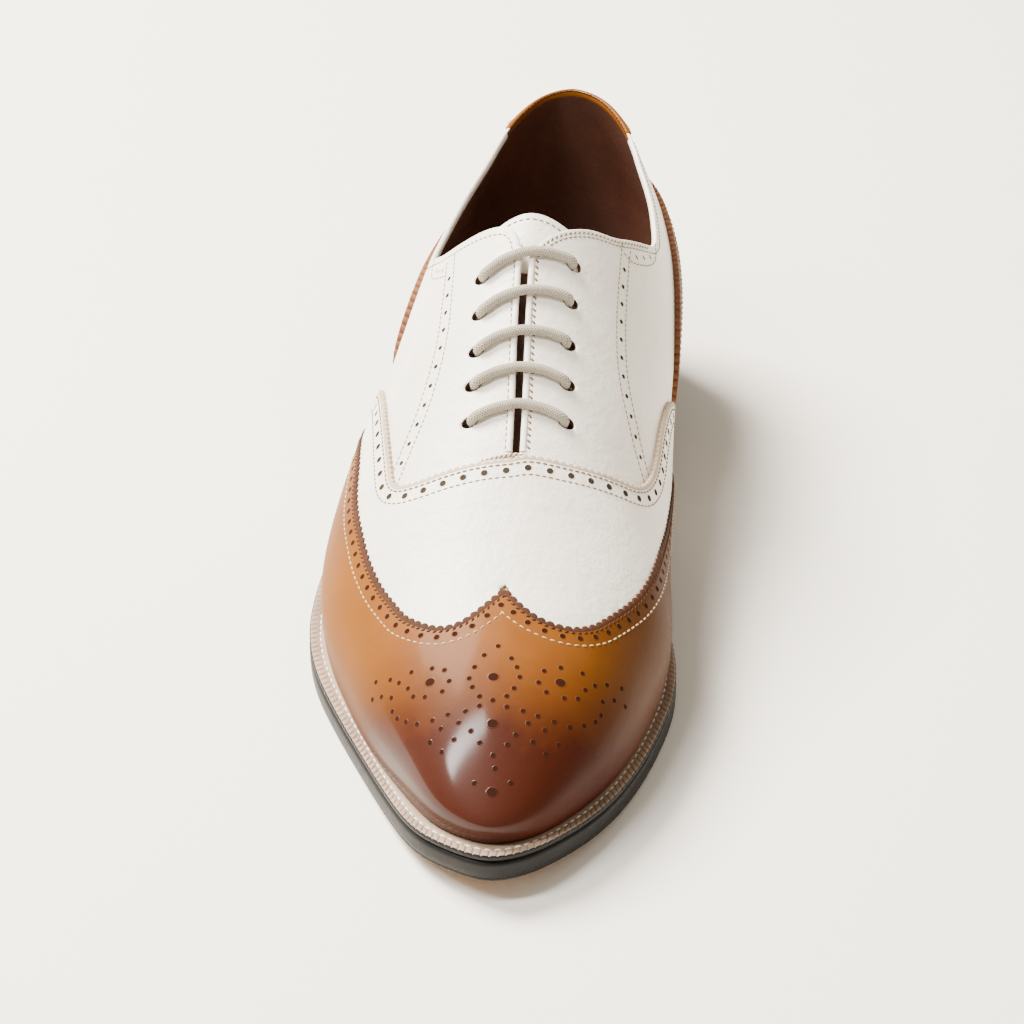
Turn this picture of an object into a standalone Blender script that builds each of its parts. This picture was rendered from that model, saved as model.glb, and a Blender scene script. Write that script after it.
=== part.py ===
import math

import bmesh
import bpy
import numpy as np

# Driving dimensions, metres
LENGTH = 0.297
BALL_WIDTH = 0.111
TOP_HEIGHT = 0.106
HEEL_HEIGHT = 0.026
HEEL_LENGTH = 0.072
TOE_SPRING = 0.007
SOLE = 0.0068
WELT = 0.0023
WALL = 0.0022
PANEL = 0.0012
TOP_LIFT = 0.006
INSOLE = 0.0030
TONGUE = 0.0020
LACE = 0.0030
EYELET = 0.0040
SLIT = 0.0022
GAP = 0.0003
SEAM = 0.0006

# Shares of LENGTH, measured from the heel
HEEL_FOCUS = 0.125
TOE_FOCUS = 0.760
CONE_BACK = 0.028
FLAT_FROM = 0.615
FLAT_TO = 0.765
UPPER_BACK = 0.002
UPPER_TIP = 0.9765
WIDEST = 0.18

# Sole outline: station (share of LENGTH), lateral and medial half widths (shares of BALL_WIDTH)
SOLE_ROWS = [
    (0.0085, 0.113, 0.113),
    (0.034, 0.221, 0.221),
    (0.085, 0.302, 0.297),
    (0.160, 0.322, 0.308),
    (0.275, 0.365, 0.285),
    (0.400, 0.465, 0.275),
    (0.510, 0.558, 0.325),
    (0.610, 0.586, 0.385),
    (0.694, 0.551, 0.413),
    (0.765, 0.473, 0.387),
    (0.842, 0.370, 0.329),
    (0.912, 0.275, 0.245),
    (0.960, 0.193, 0.153),
    (0.9865, 0.103, 0.081),
]

# Upper at its widest: station, lateral and medial half widths
UPPER_ROWS = [
    (0.012, 0.115, 0.115),
    (0.036, 0.207, 0.207),
    (0.085, 0.292, 0.290),
    (0.160, 0.337, 0.330),
    (0.275, 0.394, 0.348),
    (0.400, 0.452, 0.350),
    (0.510, 0.508, 0.358),
    (0.610, 0.530, 0.367),
    (0.694, 0.502, 0.381),
    (0.765, 0.432, 0.352),
    (0.842, 0.332, 0.292),
    (0.905, 0.232, 0.208),
    (0.948, 0.150, 0.128),
    (0.969, 0.075, 0.062),
]

# Crest of the last: station, height (share of TOP_HEIGHT), sideways offset (share of BALL_WIDTH)
CREST_ROWS = [
    (0.00, 1.100, 0.000),
    (0.12, 1.120, 0.000),
    (0.20, 1.150, -0.010),
    (0.27, 1.150, -0.026),
    (0.33, 1.090, -0.040),
    (0.38, 1.010, -0.050),
    (0.43, 0.925, -0.050),
    (0.48, 0.850, -0.046),
    (0.54, 0.757, -0.038),
    (0.62, 0.645, -0.030),
    (0.70, 0.545, -0.026),
    (0.77, 0.480, -0.023),
    (0.84, 0.440, -0.018),
    (0.90, 0.395, -0.010),
    (0.95, 0.335, -0.004),
    (1.00, 0.255, 0.000),
]

# Half width of the open top behind the crest: station, share of BALL_WIDTH
OPEN_ROWS = [
    (0.00, 0.020),
    (0.12, 0.030),
    (0.20, 0.072),
    (0.27, 0.060),
    (0.31, 0.028),
    (0.338, 0.0),
]

# Section shape: station, height of the widest line (share), tuck (share of BALL_WIDTH),
# then wall and crown fullness for the lateral and for the medial side
SHAPE_ROWS = [
    (0.00, 0.26, 0.040, 0.15, 0.30, 0.15, 0.30),
    (0.20, 0.24, 0.040, 0.15, 0.32, 0.15, 0.32),
    (0.30, 0.24, 0.040, 0.22, 0.38, 0.25, 0.38),
    (0.40, 0.24, 0.040, 0.30, 0.42, 0.38, 0.42),
    (0.55, 0.26, 0.032, 0.34, 0.44, 0.46, 0.46),
    (0.70, 0.28, 0.022, 0.42, 0.50, 0.48, 0.50),
    (0.85, 0.30, 0.014, 0.50, 0.62, 0.50, 0.62),
    (1.00, 0.34, 0.009, 0.52, 0.66, 0.52, 0.66),
]

# Forward lean of the section lines: place (share of LENGTH), lateral and medial (shares of LENGTH)
LEAN_ROWS = [
    (0.44, 0.000, 0.000),
    (0.48, 0.006, 0.001),
    (0.52, 0.017, 0.003),
    (0.56, 0.029, 0.006),
    (0.60, 0.036, 0.010),
    (0.64, 0.036, 0.014),
    (0.70, 0.029, 0.018),
    (0.76, 0.020, 0.020),
]

# Section places where the upper has a section line
UPPER_PLACES = [
    0.0, 0.02, 0.04, 0.06, 0.08, 0.10, 0.125, 0.15, 0.175, 0.20, 0.225, 0.25, 0.272, 0.29, 0.305,
    0.32, 0.334, 0.345, 0.354, 0.361, 0.3665, 0.371, 0.376, 0.382, 0.390, 0.400, 0.414, 0.430,
    0.448, 0.466, 0.484, 0.502, 0.520, 0.540, 0.560, 0.580, 0.600, 0.610, 0.620, 0.640, 0.660,
    0.680, 0.700, 0.720, 0.740, 0.760, 0.780, 0.800, 0.820, 0.840, 0.860, 0.880, 0.900, 0.920,
    0.940, 0.960, 0.980, 1.0,
]

# Section lines added where a panel edge turns quickly
VAMP_PLACES = [
    0.3685, 0.3735, 0.379, 0.386, 0.395, 0.407, 0.422, 0.590, 0.6055,
    0.6125, 0.615, 0.6175, 0.630, 0.750, 0.810, 0.830, 0.8475,
]
CAP_PLACES = [
    0.403, 0.406, 0.410, 0.418, 0.425, 0.435, 0.4405, 0.457,
    0.770, 0.790, 0.810, 0.830, 0.850, 0.8555, 0.8655,
]
COUNTER_PLACES = [0.312, 0.327, 0.340, 0.3495]

# Rows along a section line, shares of the way from feather to crest
SECTION_ROWS = [0.0, 0.10, 0.18, 0.27, 0.36, 0.46, 0.56, 0.66, 0.76, 0.88, 1.0]

# Collar and throat edge: place, lateral and medial share of the section line
COLLAR_ROWS = [
    (0.000, 0.659, 0.659),
    (0.020, 0.655, 0.655),
    (0.040, 0.649, 0.649),
    (0.070, 0.630, 0.630),
    (0.100, 0.603, 0.603),
    (0.140, 0.558, 0.559),
    (0.180, 0.512, 0.524),
    (0.220, 0.468, 0.492),
    (0.250, 0.441, 0.476),
    (0.272, 0.434, 0.492),
    (0.290, 0.448, 0.528),
    (0.305, 0.484, 0.566),
    (0.320, 0.528, 0.607),
    (0.334, 0.572, 0.650),
    (0.345, 0.617, 0.700),
    (0.354, 0.667, 0.748),
    (0.361, 0.716, 0.783),
    (0.3665, 0.766, 0.810),
    (0.371, 0.815, 0.833),
    (0.376, 0.871, 0.857),
    (0.382, 0.923, 0.885),
    (0.390, 0.957, 0.920),
    (0.400, 0.975, 0.955),
    (0.414, 0.990, 0.980),
]

# The slit between the facings ends here
SLIT_END = 0.6105

# Top edge of the vamp panel: place, lateral and medial share of the section line
VAMP_ROWS = [
    (0.366, 0.03, 0.05),
    (0.371, 0.06, 0.10),
    (0.380, 0.11, 0.165),
    (0.395, 0.20, 0.230),
    (0.414, 0.295, 0.285),
    (0.466, 0.447, 0.352),
    (0.527, 0.550, 0.400),
    (0.5614, 0.588, 0.460),
    (0.5786, 0.603, 0.525),
    (0.5884, 0.615, 0.597),
    (0.5960, 0.638, 0.666),
    (0.6055, 0.710, 0.770),
    (0.6104, 0.793, 0.842),
    (0.6129, 0.848, 0.914),
    (0.6153, 0.901, 0.970),
    (0.6175, 0.952, 1.0),
    (0.6200, 1.0, 1.0),
]

# Edge of the wing cap: place, lateral and medial share of the section line
CAP_ROWS = [
    (0.402, 0.03, 0.03),
    (0.408, 0.07, 0.05),
    (0.422, 0.145, 0.09),
    (0.440, 0.220, 0.130),
    (0.470, 0.308, 0.175),
    (0.500, 0.375, 0.210),
    (0.5246, 0.415, 0.240),
    (0.5663, 0.453, 0.290),
    (0.6153, 0.497, 0.365),
    (0.6668, 0.535, 0.446),
    (0.7036, 0.567, 0.511),
    (0.7330, 0.605, 0.578),
    (0.7600, 0.645, 0.647),
    (0.7897, 0.695, 0.715),
    (0.8100, 0.731, 0.775),
    (0.8250, 0.762, 0.823),
    (0.8355, 0.790, 0.858),
    (0.8450, 0.822, 0.893),
    (0.8517, 0.855, 0.922),
    (0.8571, 0.915, 0.955),
    (0.8610, 1.0, 1.0),
]

# Heel counter's top edge: place, lateral and medial share of the section line
COUNTER_ROWS = [
    (0.00, 0.405, 0.405),
    (0.06, 0.402, 0.400),
    (0.12, 0.385, 0.372),
    (0.18, 0.372, 0.322),
    (0.25, 0.362, 0.275),
    (0.29, 0.345, 0.245),
    (0.312, 0.315, 0.217),
    (0.327, 0.272, 0.185),
    (0.340, 0.200, 0.138),
    (0.3495, 0.110, 0.080),
    (0.354, 0.04, 0.035),
]

# Heel tab's bottom edge: place, share of the section line on both sides
TAB_ROWS = [
    (0.00, 0.553),
    (0.03, 0.556),
    (0.06, 0.574),
    (0.08, 0.590),
    (0.10, 0.603),
]

# Tongue edge: place, share of the section line on both sides
TONGUE_ROWS = [
    (0.3510, 0.925),
    (0.3525, 0.860),
    (0.3550, 0.800),
    (0.3600, 0.765),
    (0.370, 0.745),
    (0.400, 0.725),
    (0.500, 0.725),
    (0.580, 0.750),
    (0.645, 0.800),
]

# Eyelets from the top row down: lateral place and share, medial place and share
EYELET_ROWS = [
    (0.4235, 0.835, 0.404, 0.808),
    (0.4616, 0.845, 0.443, 0.815),
    (0.4987, 0.852, 0.487, 0.820),
    (0.5308, 0.853, 0.527, 0.820),
    (0.5659, 0.855, 0.565, 0.820),
]

# Lace: eyelets in the order that it passes them, as (row, side); sideways share of its hidden runs
LACE_ORDER = [
    (0, 1), (0, -1), (2, -1), (2, 1), (4, 1), (4, -1), (3, -1), (3, 1), (1, 1), (1, -1),
]
LACE_RUNS = [-0.045, -0.045, 0.0, 0.040]

COLOURS = {
    "outsole": (0.020, 0.018, 0.017, 1.0),
    "heel_block": (0.020, 0.018, 0.017, 1.0),
    "top_lift": (0.015, 0.015, 0.015, 1.0),
    "welt": (0.290, 0.215, 0.155, 1.0),
    "insole": (0.420, 0.250, 0.120, 1.0),
    "upper": (0.800, 0.770, 0.700, 1.0),
    "vamp": (0.800, 0.770, 0.700, 1.0),
    "wing_cap": (0.420, 0.170, 0.055, 1.0),
    "heel_counter": (0.420, 0.170, 0.055, 1.0),
    "heel_tab": (0.420, 0.170, 0.055, 1.0),
    "tongue": (0.780, 0.750, 0.680, 1.0),
    "lace": (0.700, 0.670, 0.600, 1.0),
}


def spline(rows):
    """Natural cubic through rows of (knot, value, value ...)."""
    table = np.array(rows, float)
    k = table[:, 0]
    v = table[:, 1:]
    n = len(k)
    h = np.diff(k)
    a = np.eye(n)
    b = np.zeros_like(v)
    for i in range(1, n - 1):
        a[i, i - 1:i + 2] = (h[i - 1], 2 * (h[i - 1] + h[i]), h[i])
        b[i] = 6 * ((v[i + 1] - v[i]) / h[i] - (v[i] - v[i - 1]) / h[i - 1])
    m = np.linalg.solve(a, b)

    def value(x):
        x = min(max(x, k[0]), k[-1])
        i = min(max(int(np.searchsorted(k, x)) - 1, 0), n - 2)
        p = k[i + 1] - x
        q = x - k[i]
        curve = (m[i] * p ** 3 + m[i + 1] * q ** 3) / (6 * h[i])
        return curve + (v[i] / h[i] - m[i] * h[i] / 6) * p + (v[i + 1] / h[i] - m[i + 1] * h[i] / 6) * q

    return value


def closed_curve(points, count=1200):
    """Periodic cubic through the points, as (x, station) pairs."""
    p = np.array(points, float)
    n = len(p)
    ring = np.vstack([p, p[:1]])
    h = np.linalg.norm(np.diff(ring, axis=0), axis=1) ** 0.5
    h = h / h.sum()
    a = np.zeros((n, n))
    b = np.zeros((n, 2))
    for i in range(n):
        a[i, i - 1] += h[i - 1]
        a[i, i] += 2 * (h[i - 1] + h[i])
        a[i, (i + 1) % n] += h[i]
        b[i] = 6 * ((ring[i + 1] - ring[i]) / h[i] - (ring[i] - p[i - 1]) / h[i - 1])
    m = np.linalg.solve(a, b)
    m = np.vstack([m, m[:1]])
    k = np.concatenate([[0], np.cumsum(h)])
    out = []
    for x in np.linspace(0, 1, count, endpoint=False):
        i = min(int(np.searchsorted(k, x, side="right")) - 1, n - 1)
        p1 = k[i + 1] - x
        q1 = x - k[i]
        curve = (m[i] * p1 ** 3 + m[i + 1] * q1 ** 3) / (6 * h[i])
        curve = curve + (ring[i] / h[i] - m[i] * h[i] / 6) * p1
        out.append(curve + (ring[i + 1] / h[i] - m[i + 1] * h[i] / 6) * q1)
    return np.array(out)


def outline(rows, back, tip):
    """Closed outline: heel, lateral side (-x), toe, medial side (+x)."""
    lateral = [(-lat * BALL_WIDTH, s * LENGTH) for s, lat, med in rows]
    medial = [(med * BALL_WIDTH, s * LENGTH) for s, lat, med in reversed(rows)]
    return closed_curve([(0.0, back * LENGTH)] + lateral + [(-0.0008, tip * LENGTH)] + medial)


class Edge:
    """One side of an outline, from the heel to the toe."""

    def __init__(self, curve, side, inset=None):
        start = int(np.argmin(curve[:, 1]))
        ring = np.roll(curve, -start, axis=0)
        if inset is not None:
            step = np.roll(ring, -1, axis=0) - np.roll(ring, 1, axis=0)
            step = step / np.linalg.norm(step, axis=1)[:, None]
            normal = np.column_stack([step[:, 1], -step[:, 0]])
            depth = np.array([inset(t) for t in ring[:, 1]])
            ring = ring + normal * depth[:, None]
        end = int(np.argmax(curve[np.r_[start:len(curve), 0:start], 1]))
        if side < 0:
            self.points = ring[:end + 1]
        else:
            self.points = np.vstack([ring[end:], ring[:1]])[::-1]
        steps = np.linalg.norm(np.diff(self.points, axis=0), axis=1)
        self.run = np.concatenate([[0], np.cumsum(steps)])

    def at_station(self, t):
        return np.array([np.interp(t, self.points[:, 1], self.points[:, 0]), t])

    def at_run(self, d):
        x = np.interp(d, self.run, self.points[:, 0])
        return np.array([x, np.interp(d, self.run, self.points[:, 1])])

    def run_at(self, t):
        return float(np.interp(t, self.points[:, 1], self.run))


SOLE_CURVE = outline(SOLE_ROWS, 0.0, 1.0)
UPPER_CURVE = outline(UPPER_ROWS, UPPER_BACK, UPPER_TIP)
crest = spline(CREST_ROWS)
shape = spline(SHAPE_ROWS)


def column(rows, x, index):
    return float(np.interp(x, [r[0] for r in rows], [r[index] for r in rows]))


def under(t):
    """Height of the outsole's underside at a station."""
    s = t / LENGTH
    seat = 0.85 * HEEL_LENGTH / LENGTH
    u = min(max((s - seat) / (FLAT_FROM - seat), 0.0), 1.0)
    e = min(max((s - FLAT_TO) / (1 - FLAT_TO), 0.0), 1.0)
    return HEEL_HEIGHT * (1 - u * u * (3 - 2 * u)) + TOE_SPRING * e * e


def feather(t):
    return under(t) + SOLE + WELT + 2 * GAP


def tuck(t):
    return shape(t / LENGTH)[1] * BALL_WIDTH


def crest_point(t, side):
    half = column(OPEN_ROWS, t / LENGTH, 1)
    return np.array([(crest(t / LENGTH)[1] + side * half) * BALL_WIDTH, t])


def lean(place, side):
    """How far a rib's foot stands ahead of its crest point, as a share of LENGTH."""
    return column(LEAN_ROWS, place, 1 if side < 0 else 2)


class Rib:
    """A section line of the upper from the feather (v = 0) over the widest line to the crest (v = 1)."""

    def __init__(self, side, place):
        self.side = side
        self.place = place
        edge = EDGES[side]
        heel = HEEL_FOCUS * LENGTH
        toe = TOE_FOCUS * LENGTH
        if place < HEEL_FOCUS:
            u = place / HEEL_FOCUS
            self.base = edge.at_run(u * edge.run_at(heel))
            top = crest_point(heel, side)
            back = CONE_BACK * LENGTH
            angle = u * math.pi / 2
            self.top = np.array([top[0] * math.sin(angle), heel - (heel - back) * math.cos(angle)])
        elif place <= TOE_FOCUS:
            t = place * LENGTH
            self.top = crest_point(t, side)
            self.base = edge.at_station(t + lean(place, side) * LENGTH)
        else:
            u = (place - TOE_FOCUS) / (1 - TOE_FOCUS)
            first = edge.run_at(toe + lean(TOE_FOCUS, side) * LENGTH)
            self.base = edge.at_run(first + u * (edge.run[-1] - first))
            self.top = crest_point(toe, side)
        step = self.base - self.top
        self.reach = float(np.linalg.norm(step))
        self.direction = step / self.reach
        line = np.array([self.point(v) for v in FINE])
        steps = np.linalg.norm(np.diff(line, axis=0), axis=1)
        self.arc = np.concatenate([[0], np.cumsum(steps)])
        self.heights = line[:, 2]

    def point(self, v, lift=0.0):
        bulge, inward, wall_l, crown_l, wall_m, crown_m = shape(self.base[1] / LENGTH)
        wall, crown = (wall_l, crown_l) if self.side < 0 else (wall_m, crown_m)
        reach = self.reach + lift
        if v < WIDEST:
            angle = (1 - v / WIDEST) * math.pi / 2
            out = 1 - inward * BALL_WIDTH / reach * (1 - math.cos(angle))
            up = bulge * (1 - math.sin(angle))
        else:
            q = (v - WIDEST) / (1 - WIDEST)
            b = ((1 - q) ** 3, 3 * q * (1 - q) ** 2, 3 * q * q * (1 - q), q ** 3)
            out = b[0] + b[1] + b[2] * crown
            up = bulge * b[0] + (bulge + (1 - bulge) * wall) * b[1] + b[2] + b[3]
        x, t = self.top + self.direction * reach * out
        low = feather(t)
        return np.array([x, t, low + (crest(t / LENGTH)[0] * TOP_HEIGHT + lift - low) * up])

    def v_at_height(self, z):
        return float(np.interp(z, self.heights, FINE))

    def v_at_arc(self, s):
        """v of the point at distance s from the crest, along the rib."""
        return float(np.interp(self.arc[-1] - s, self.arc, FINE))


FINE = np.linspace(0.0, 1.0, 121)
EDGES = {-1: Edge(UPPER_CURVE, -1), 1: Edge(UPPER_CURVE, 1)}


def rib(side, place):
    key = (side if 0 < place < 1 else -1, place)
    if key not in RIBS:
        RIBS[key] = Rib(key[0], place)
    return RIBS[key]


RIBS = {}


def places(first, last, extra=()):
    chosen = sorted(set(UPPER_PLACES) | set(extra))
    return [p for p in chosen if first <= p <= last]


def make_object(name, verts, faces, smooth=True):
    mesh = bpy.data.meshes.new(name)
    mesh.from_pydata([tuple(v) for v in verts], [], faces)
    bm = bmesh.new()
    bm.from_mesh(mesh)
    bmesh.ops.remove_doubles(bm, verts=bm.verts, dist=0.00001)
    bmesh.ops.recalc_face_normals(bm, faces=bm.faces)
    bm.to_mesh(mesh)
    bm.free()
    obj = bpy.data.objects.new(name, mesh)
    bpy.context.scene.collection.objects.link(obj)
    material = bpy.data.materials.new(name)
    material.use_nodes = True
    shader = material.node_tree.nodes["Principled BSDF"]
    shader.inputs["Base Color"].default_value = COLOURS[name]
    shader.inputs["Roughness"].default_value = 0.5
    mesh.materials.append(material)
    if smooth:
        mesh.shade_smooth()
    return obj


def to_frame(point):
    """From (x, station, height) to the shared frame: toe towards -Y, centred in plan."""
    return (point[0] - MIDDLE, LENGTH / 2 - point[1], point[2])


def sheet(name, strips, lift_out, lift_in):
    """Closed solid between two offsets of the last's surface.

    strips: lists of (rib, lowest share, highest share), neighbours joined in turn.
    """
    index = {}
    outer = []
    inner = []
    triangles = []

    def vertex(line, v):
        flat = line.point(v)
        key = tuple(int(round(c * 1e6)) for c in flat)
        if key not in index:
            index[key] = len(outer)
            outer.append(to_frame(line.point(v, lift_out)))
            inner.append(to_frame(line.point(v, lift_in)))
        return index[key]

    for strip in strips:
        columns = []
        for line, low, high in strip:
            rows = [low] + [r for r in SECTION_ROWS if low + 0.01 < r < high - 0.01] + [high]
            columns.append([(v, vertex(line, v)) for v in rows])
        for left, right in zip(columns, columns[1:]):
            i = 0
            j = 0
            while i < len(left) - 1 or j < len(right) - 1:
                step_left = left[i + 1][0] if i < len(left) - 1 else 9.0
                step_right = right[j + 1][0] if j < len(right) - 1 else 9.0
                if step_left <= step_right + 1e-9:
                    face = (left[i][1], left[i + 1][1], right[j][1])
                    i += 1
                else:
                    face = (left[i][1], right[j + 1][1], right[j][1])
                    j += 1
                if len(set(face)) == 3:
                    triangles.append(face)
    count = len(outer)
    used = {}
    for face in triangles:
        for a, b in zip(face, face[1:] + face[:1]):
            used[(a, b)] = used.get((a, b), 0) + 1
    faces = list(triangles)
    faces += [tuple(count + k for k in reversed(face)) for face in triangles]
    for a, b in used:
        if (b, a) not in used:
            faces.append((b, a, count + a))
            faces.append((b, count + a, count + b))
    return make_object(name, outer + inner, faces)


def both_sides(first, last, low, high, extra=()):
    """Two strips: the lateral one runs forward, the medial one back."""
    strips = []
    for side in (-1, 1):
        strip = []
        for p in places(first, last, extra):
            bottom = low(p, side)
            top = high(p, side)
            if top - bottom > 0.02:
                strip.append((rib(side, p), bottom, top))
        strips.append(strip)
    strips[1].reverse()
    return strips


def collar(p, side):
    if p <= COLLAR_ROWS[-1][0]:
        return column(COLLAR_ROWS, p, 1 if side < 0 else 2)
    if p < SLIT_END:
        return rib(side, p).v_at_arc(SLIT / 2)
    return 1.0


def vamp_top(p, side):
    if p > 0.757:
        return 0.982
    return column(VAMP_ROWS, p, 1 if side < 0 else 2)


def cap_edge(p, side):
    return column(CAP_ROWS, p, 1 if side < 0 else 2)


def vamp_bottom(p, side):
    if p < 0.397:
        return 0.0
    return cap_edge(p + 0.005, side) + 0.008


def counter_edge(p, side):
    return column(COUNTER_ROWS, p, 1 if side < 0 else 2)


def tab_edge(p, side):
    return column(TAB_ROWS, p, 1)


def tongue_edge(p, side):
    return column(TONGUE_ROWS, p, 1)


def zero(p, side):
    return 0.0


def one(p, side):
    return 1.0


def build_upper():
    lateral, medial = both_sides(0.0, 1.0, zero, collar)
    loop = lateral + medial[1:]
    return sheet("upper", [loop], 0.0, -WALL)


def build_panels():
    strips = both_sides(0.366, 0.850, vamp_bottom, vamp_top, VAMP_PLACES)
    sheet("vamp", strips, SEAM, SEAM + 0.6 * PANEL)
    lateral, medial = both_sides(0.400, 1.0, zero, cap_edge, CAP_PLACES)
    sheet("wing_cap", [lateral + medial[1:]], SEAM, SEAM + PANEL)
    lateral, medial = both_sides(0.0, 0.354, zero, counter_edge, COUNTER_PLACES)
    sheet("heel_counter", [medial[:-1] + lateral], SEAM, SEAM + PANEL)
    lateral, medial = both_sides(0.0, 0.10, tab_edge, collar)
    sheet("heel_tab", [medial[:-1] + lateral], SEAM, SEAM + PANEL)
    strips = both_sides(0.351, 0.645, tongue_edge, one, (0.351, 0.3525, 0.355, 0.36, 0.645))
    sheet("tongue", strips, -TONGUE_DEPTH, -TONGUE_DEPTH - TONGUE)


def pair_stations(count, last=1.0):
    """Shares of the way along a side, closer together at the ends."""
    return [last * (0.5 - 0.5 * math.cos(math.pi * i / (count - 1))) for i in range(count)]


def ring_points(curve, inset, shares):
    """Points of the outline moved inwards, one lateral and one medial list, at shares of its run."""
    lists = []
    for side in (-1, 1):
        plain = Edge(curve, side)
        moved = Edge(curve, side, inset)
        points = []
        for share in shares:
            k = share * (len(plain.points) - 1)
            low = int(k)
            high = min(low + 1, len(plain.points) - 1)
            near = high - k if high > low else 1
            points.append(moved.points[low] * near + moved.points[high] * (k - low))
        lists.append(points)
    return lists


def slab(name, levels, closed_end=True):
    """Solid from stacked outlines; each level is (lateral points, medial points, heights function)."""
    verts = []
    faces = []
    n = len(levels[0][0])
    for lateral, medial, height in levels:
        for p in lateral + medial:
            verts.append(to_frame((p[0], p[1], height(p[1]))))
    for k in range(len(levels) - 1):
        a = k * 2 * n
        b = a + 2 * n
        for i in range(n - 1):
            faces.append((a + i, a + i + 1, b + i + 1, b + i))
            faces.append((a + n + i, b + n + i, b + n + i + 1, a + n + i + 1))
        if not closed_end:
            faces.append((a + n - 1, a + 2 * n - 1, b + 2 * n - 1, b + n - 1))
    for a, flip in ((0, True), ((len(levels) - 1) * 2 * n, False)):
        for i in range(n - 1):
            face = (a + i, a + i + 1, a + n + i + 1, a + n + i)
            faces.append(face if flip else tuple(reversed(face)))
    return make_object(name, verts, faces)


def build_bottom():
    shares = pair_stations(44)
    low = ring_points(SOLE_CURVE, lambda t: 0.0010, shares)
    wide = ring_points(SOLE_CURVE, lambda t: 0.0, shares)
    high = ring_points(SOLE_CURVE, lambda t: 0.0004, shares)
    slab("outsole", [
        (low[0], low[1], under),
        (wide[0], wide[1], lambda t: under(t) + 0.0012),
        (wide[0], wide[1], lambda t: under(t) + SOLE - 0.0006),
        (high[0], high[1], lambda t: under(t) + SOLE),
    ])
    inside = ring_points(UPPER_CURVE, lambda t: tuck(t) + WALL, shares)
    bottom = lambda t: under(t) + SOLE + GAP
    top = lambda t: under(t) + SOLE + GAP + WELT
    verts = []
    faces = []
    n = len(shares)
    for lists, height in ((high, bottom), (wide, top), (inside, top), (inside, bottom)):
        ring = lists[0] + lists[1][-2:0:-1]
        for p in ring:
            verts.append(to_frame((p[0], p[1], height(p[1]))))
    m = 2 * n - 2
    for k in range(4):
        a = k * m
        b = ((k + 1) % 4) * m
        for i in range(m):
            j = (i + 1) % m
            faces.append((a + i, a + j, b + j, b + i))
    make_object("welt", verts, faces)
    low = ring_points(UPPER_CURVE, lambda t: tuck(t) + WALL + GAP + 0.0002, shares)
    slab("insole", [
        (low[0], low[1], bottom),
        (low[0], low[1], lambda t: top(t) + INSOLE),
    ])


def build_heel():
    count = 20
    turns = [0.5 - 0.5 * math.cos(math.pi * i / (count - 1)) for i in range(count)]
    for name, bottom, top, inset_low, inset_high in (
        ("heel_block", lambda t: TOP_LIFT + GAP, lambda t: under(t) - GAP, 0.0012, 0.0002),
        ("top_lift", lambda t: 0.0, lambda t: TOP_LIFT, 0.0016, 0.0012),
    ):
        rings = []
        for inset in (inset_low, inset_high):
            lists = []
            for side in (-1, 1):
                moved = Edge(SOLE_CURVE, side, lambda t: inset)
                end = moved.run_at(HEEL_LENGTH)
                lists.append([moved.at_run(end * share) for share in turns])
            rings.append(lists)
        slab(name, [(rings[0][0], rings[0][1], bottom), (rings[1][0], rings[1][1], top)], closed_end=False)


def local_axes(line, v):
    """Centre, outward normal, direction to the crest and direction to the toe, in the shared frame."""
    here = np.array(to_frame(line.point(v)))
    up = np.array(to_frame(line.point(v + 0.02))) - here
    other = rib(line.side, round(line.place + 0.006, 6))
    along = np.array(to_frame(other.point(v))) - here
    up = up / np.linalg.norm(up)
    normal = np.cross(up, along)
    normal = normal / np.linalg.norm(normal)
    if normal[2] < 0:
        normal = -normal
    along = np.cross(normal, up)
    if along[1] > 0:
        along = -along
    return here, normal, up, along


def eyelet(row, side):
    place, v = EYELET_ROWS[row][0:2] if side < 0 else EYELET_ROWS[row][2:4]
    return rib(side, place), v


def cut_eyelets(upper):
    verts = []
    faces = []
    sides = 12
    for row in range(len(EYELET_ROWS)):
        for side in (-1, 1):
            line, v = eyelet(row, side)
            here, normal, up, along = local_axes(line, v)
            base = len(verts)
            for depth in (-0.0050, 0.0020):
                for i in range(sides):
                    a = 2 * math.pi * i / sides
                    radial = up * math.cos(a) + along * math.sin(a)
                    verts.append(here + normal * depth + radial * EYELET / 2)
            for i in range(sides):
                j = (i + 1) % sides
                faces.append((base + i, base + j, base + sides + j, base + sides + i))
            faces.append(tuple(base + i for i in reversed(range(sides))))
            faces.append(tuple(base + sides + i for i in range(sides)))
    mesh = bpy.data.meshes.new("eyelet_cut")
    mesh.from_pydata([tuple(v) for v in verts], [], faces)
    bm = bmesh.new()
    bm.from_mesh(mesh)
    bmesh.ops.recalc_face_normals(bm, faces=bm.faces)
    bm.to_mesh(mesh)
    bm.free()
    cutter = bpy.data.objects.new("eyelet_cut", mesh)
    bpy.context.scene.collection.objects.link(cutter)
    cutter.hide_render = True
    cutter.display_type = "WIRE"
    cut = upper.modifiers.new("eyelets", "BOOLEAN")
    cut.operation = "DIFFERENCE"
    cut.solver = "EXACT"
    cut.object = cutter


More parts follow.
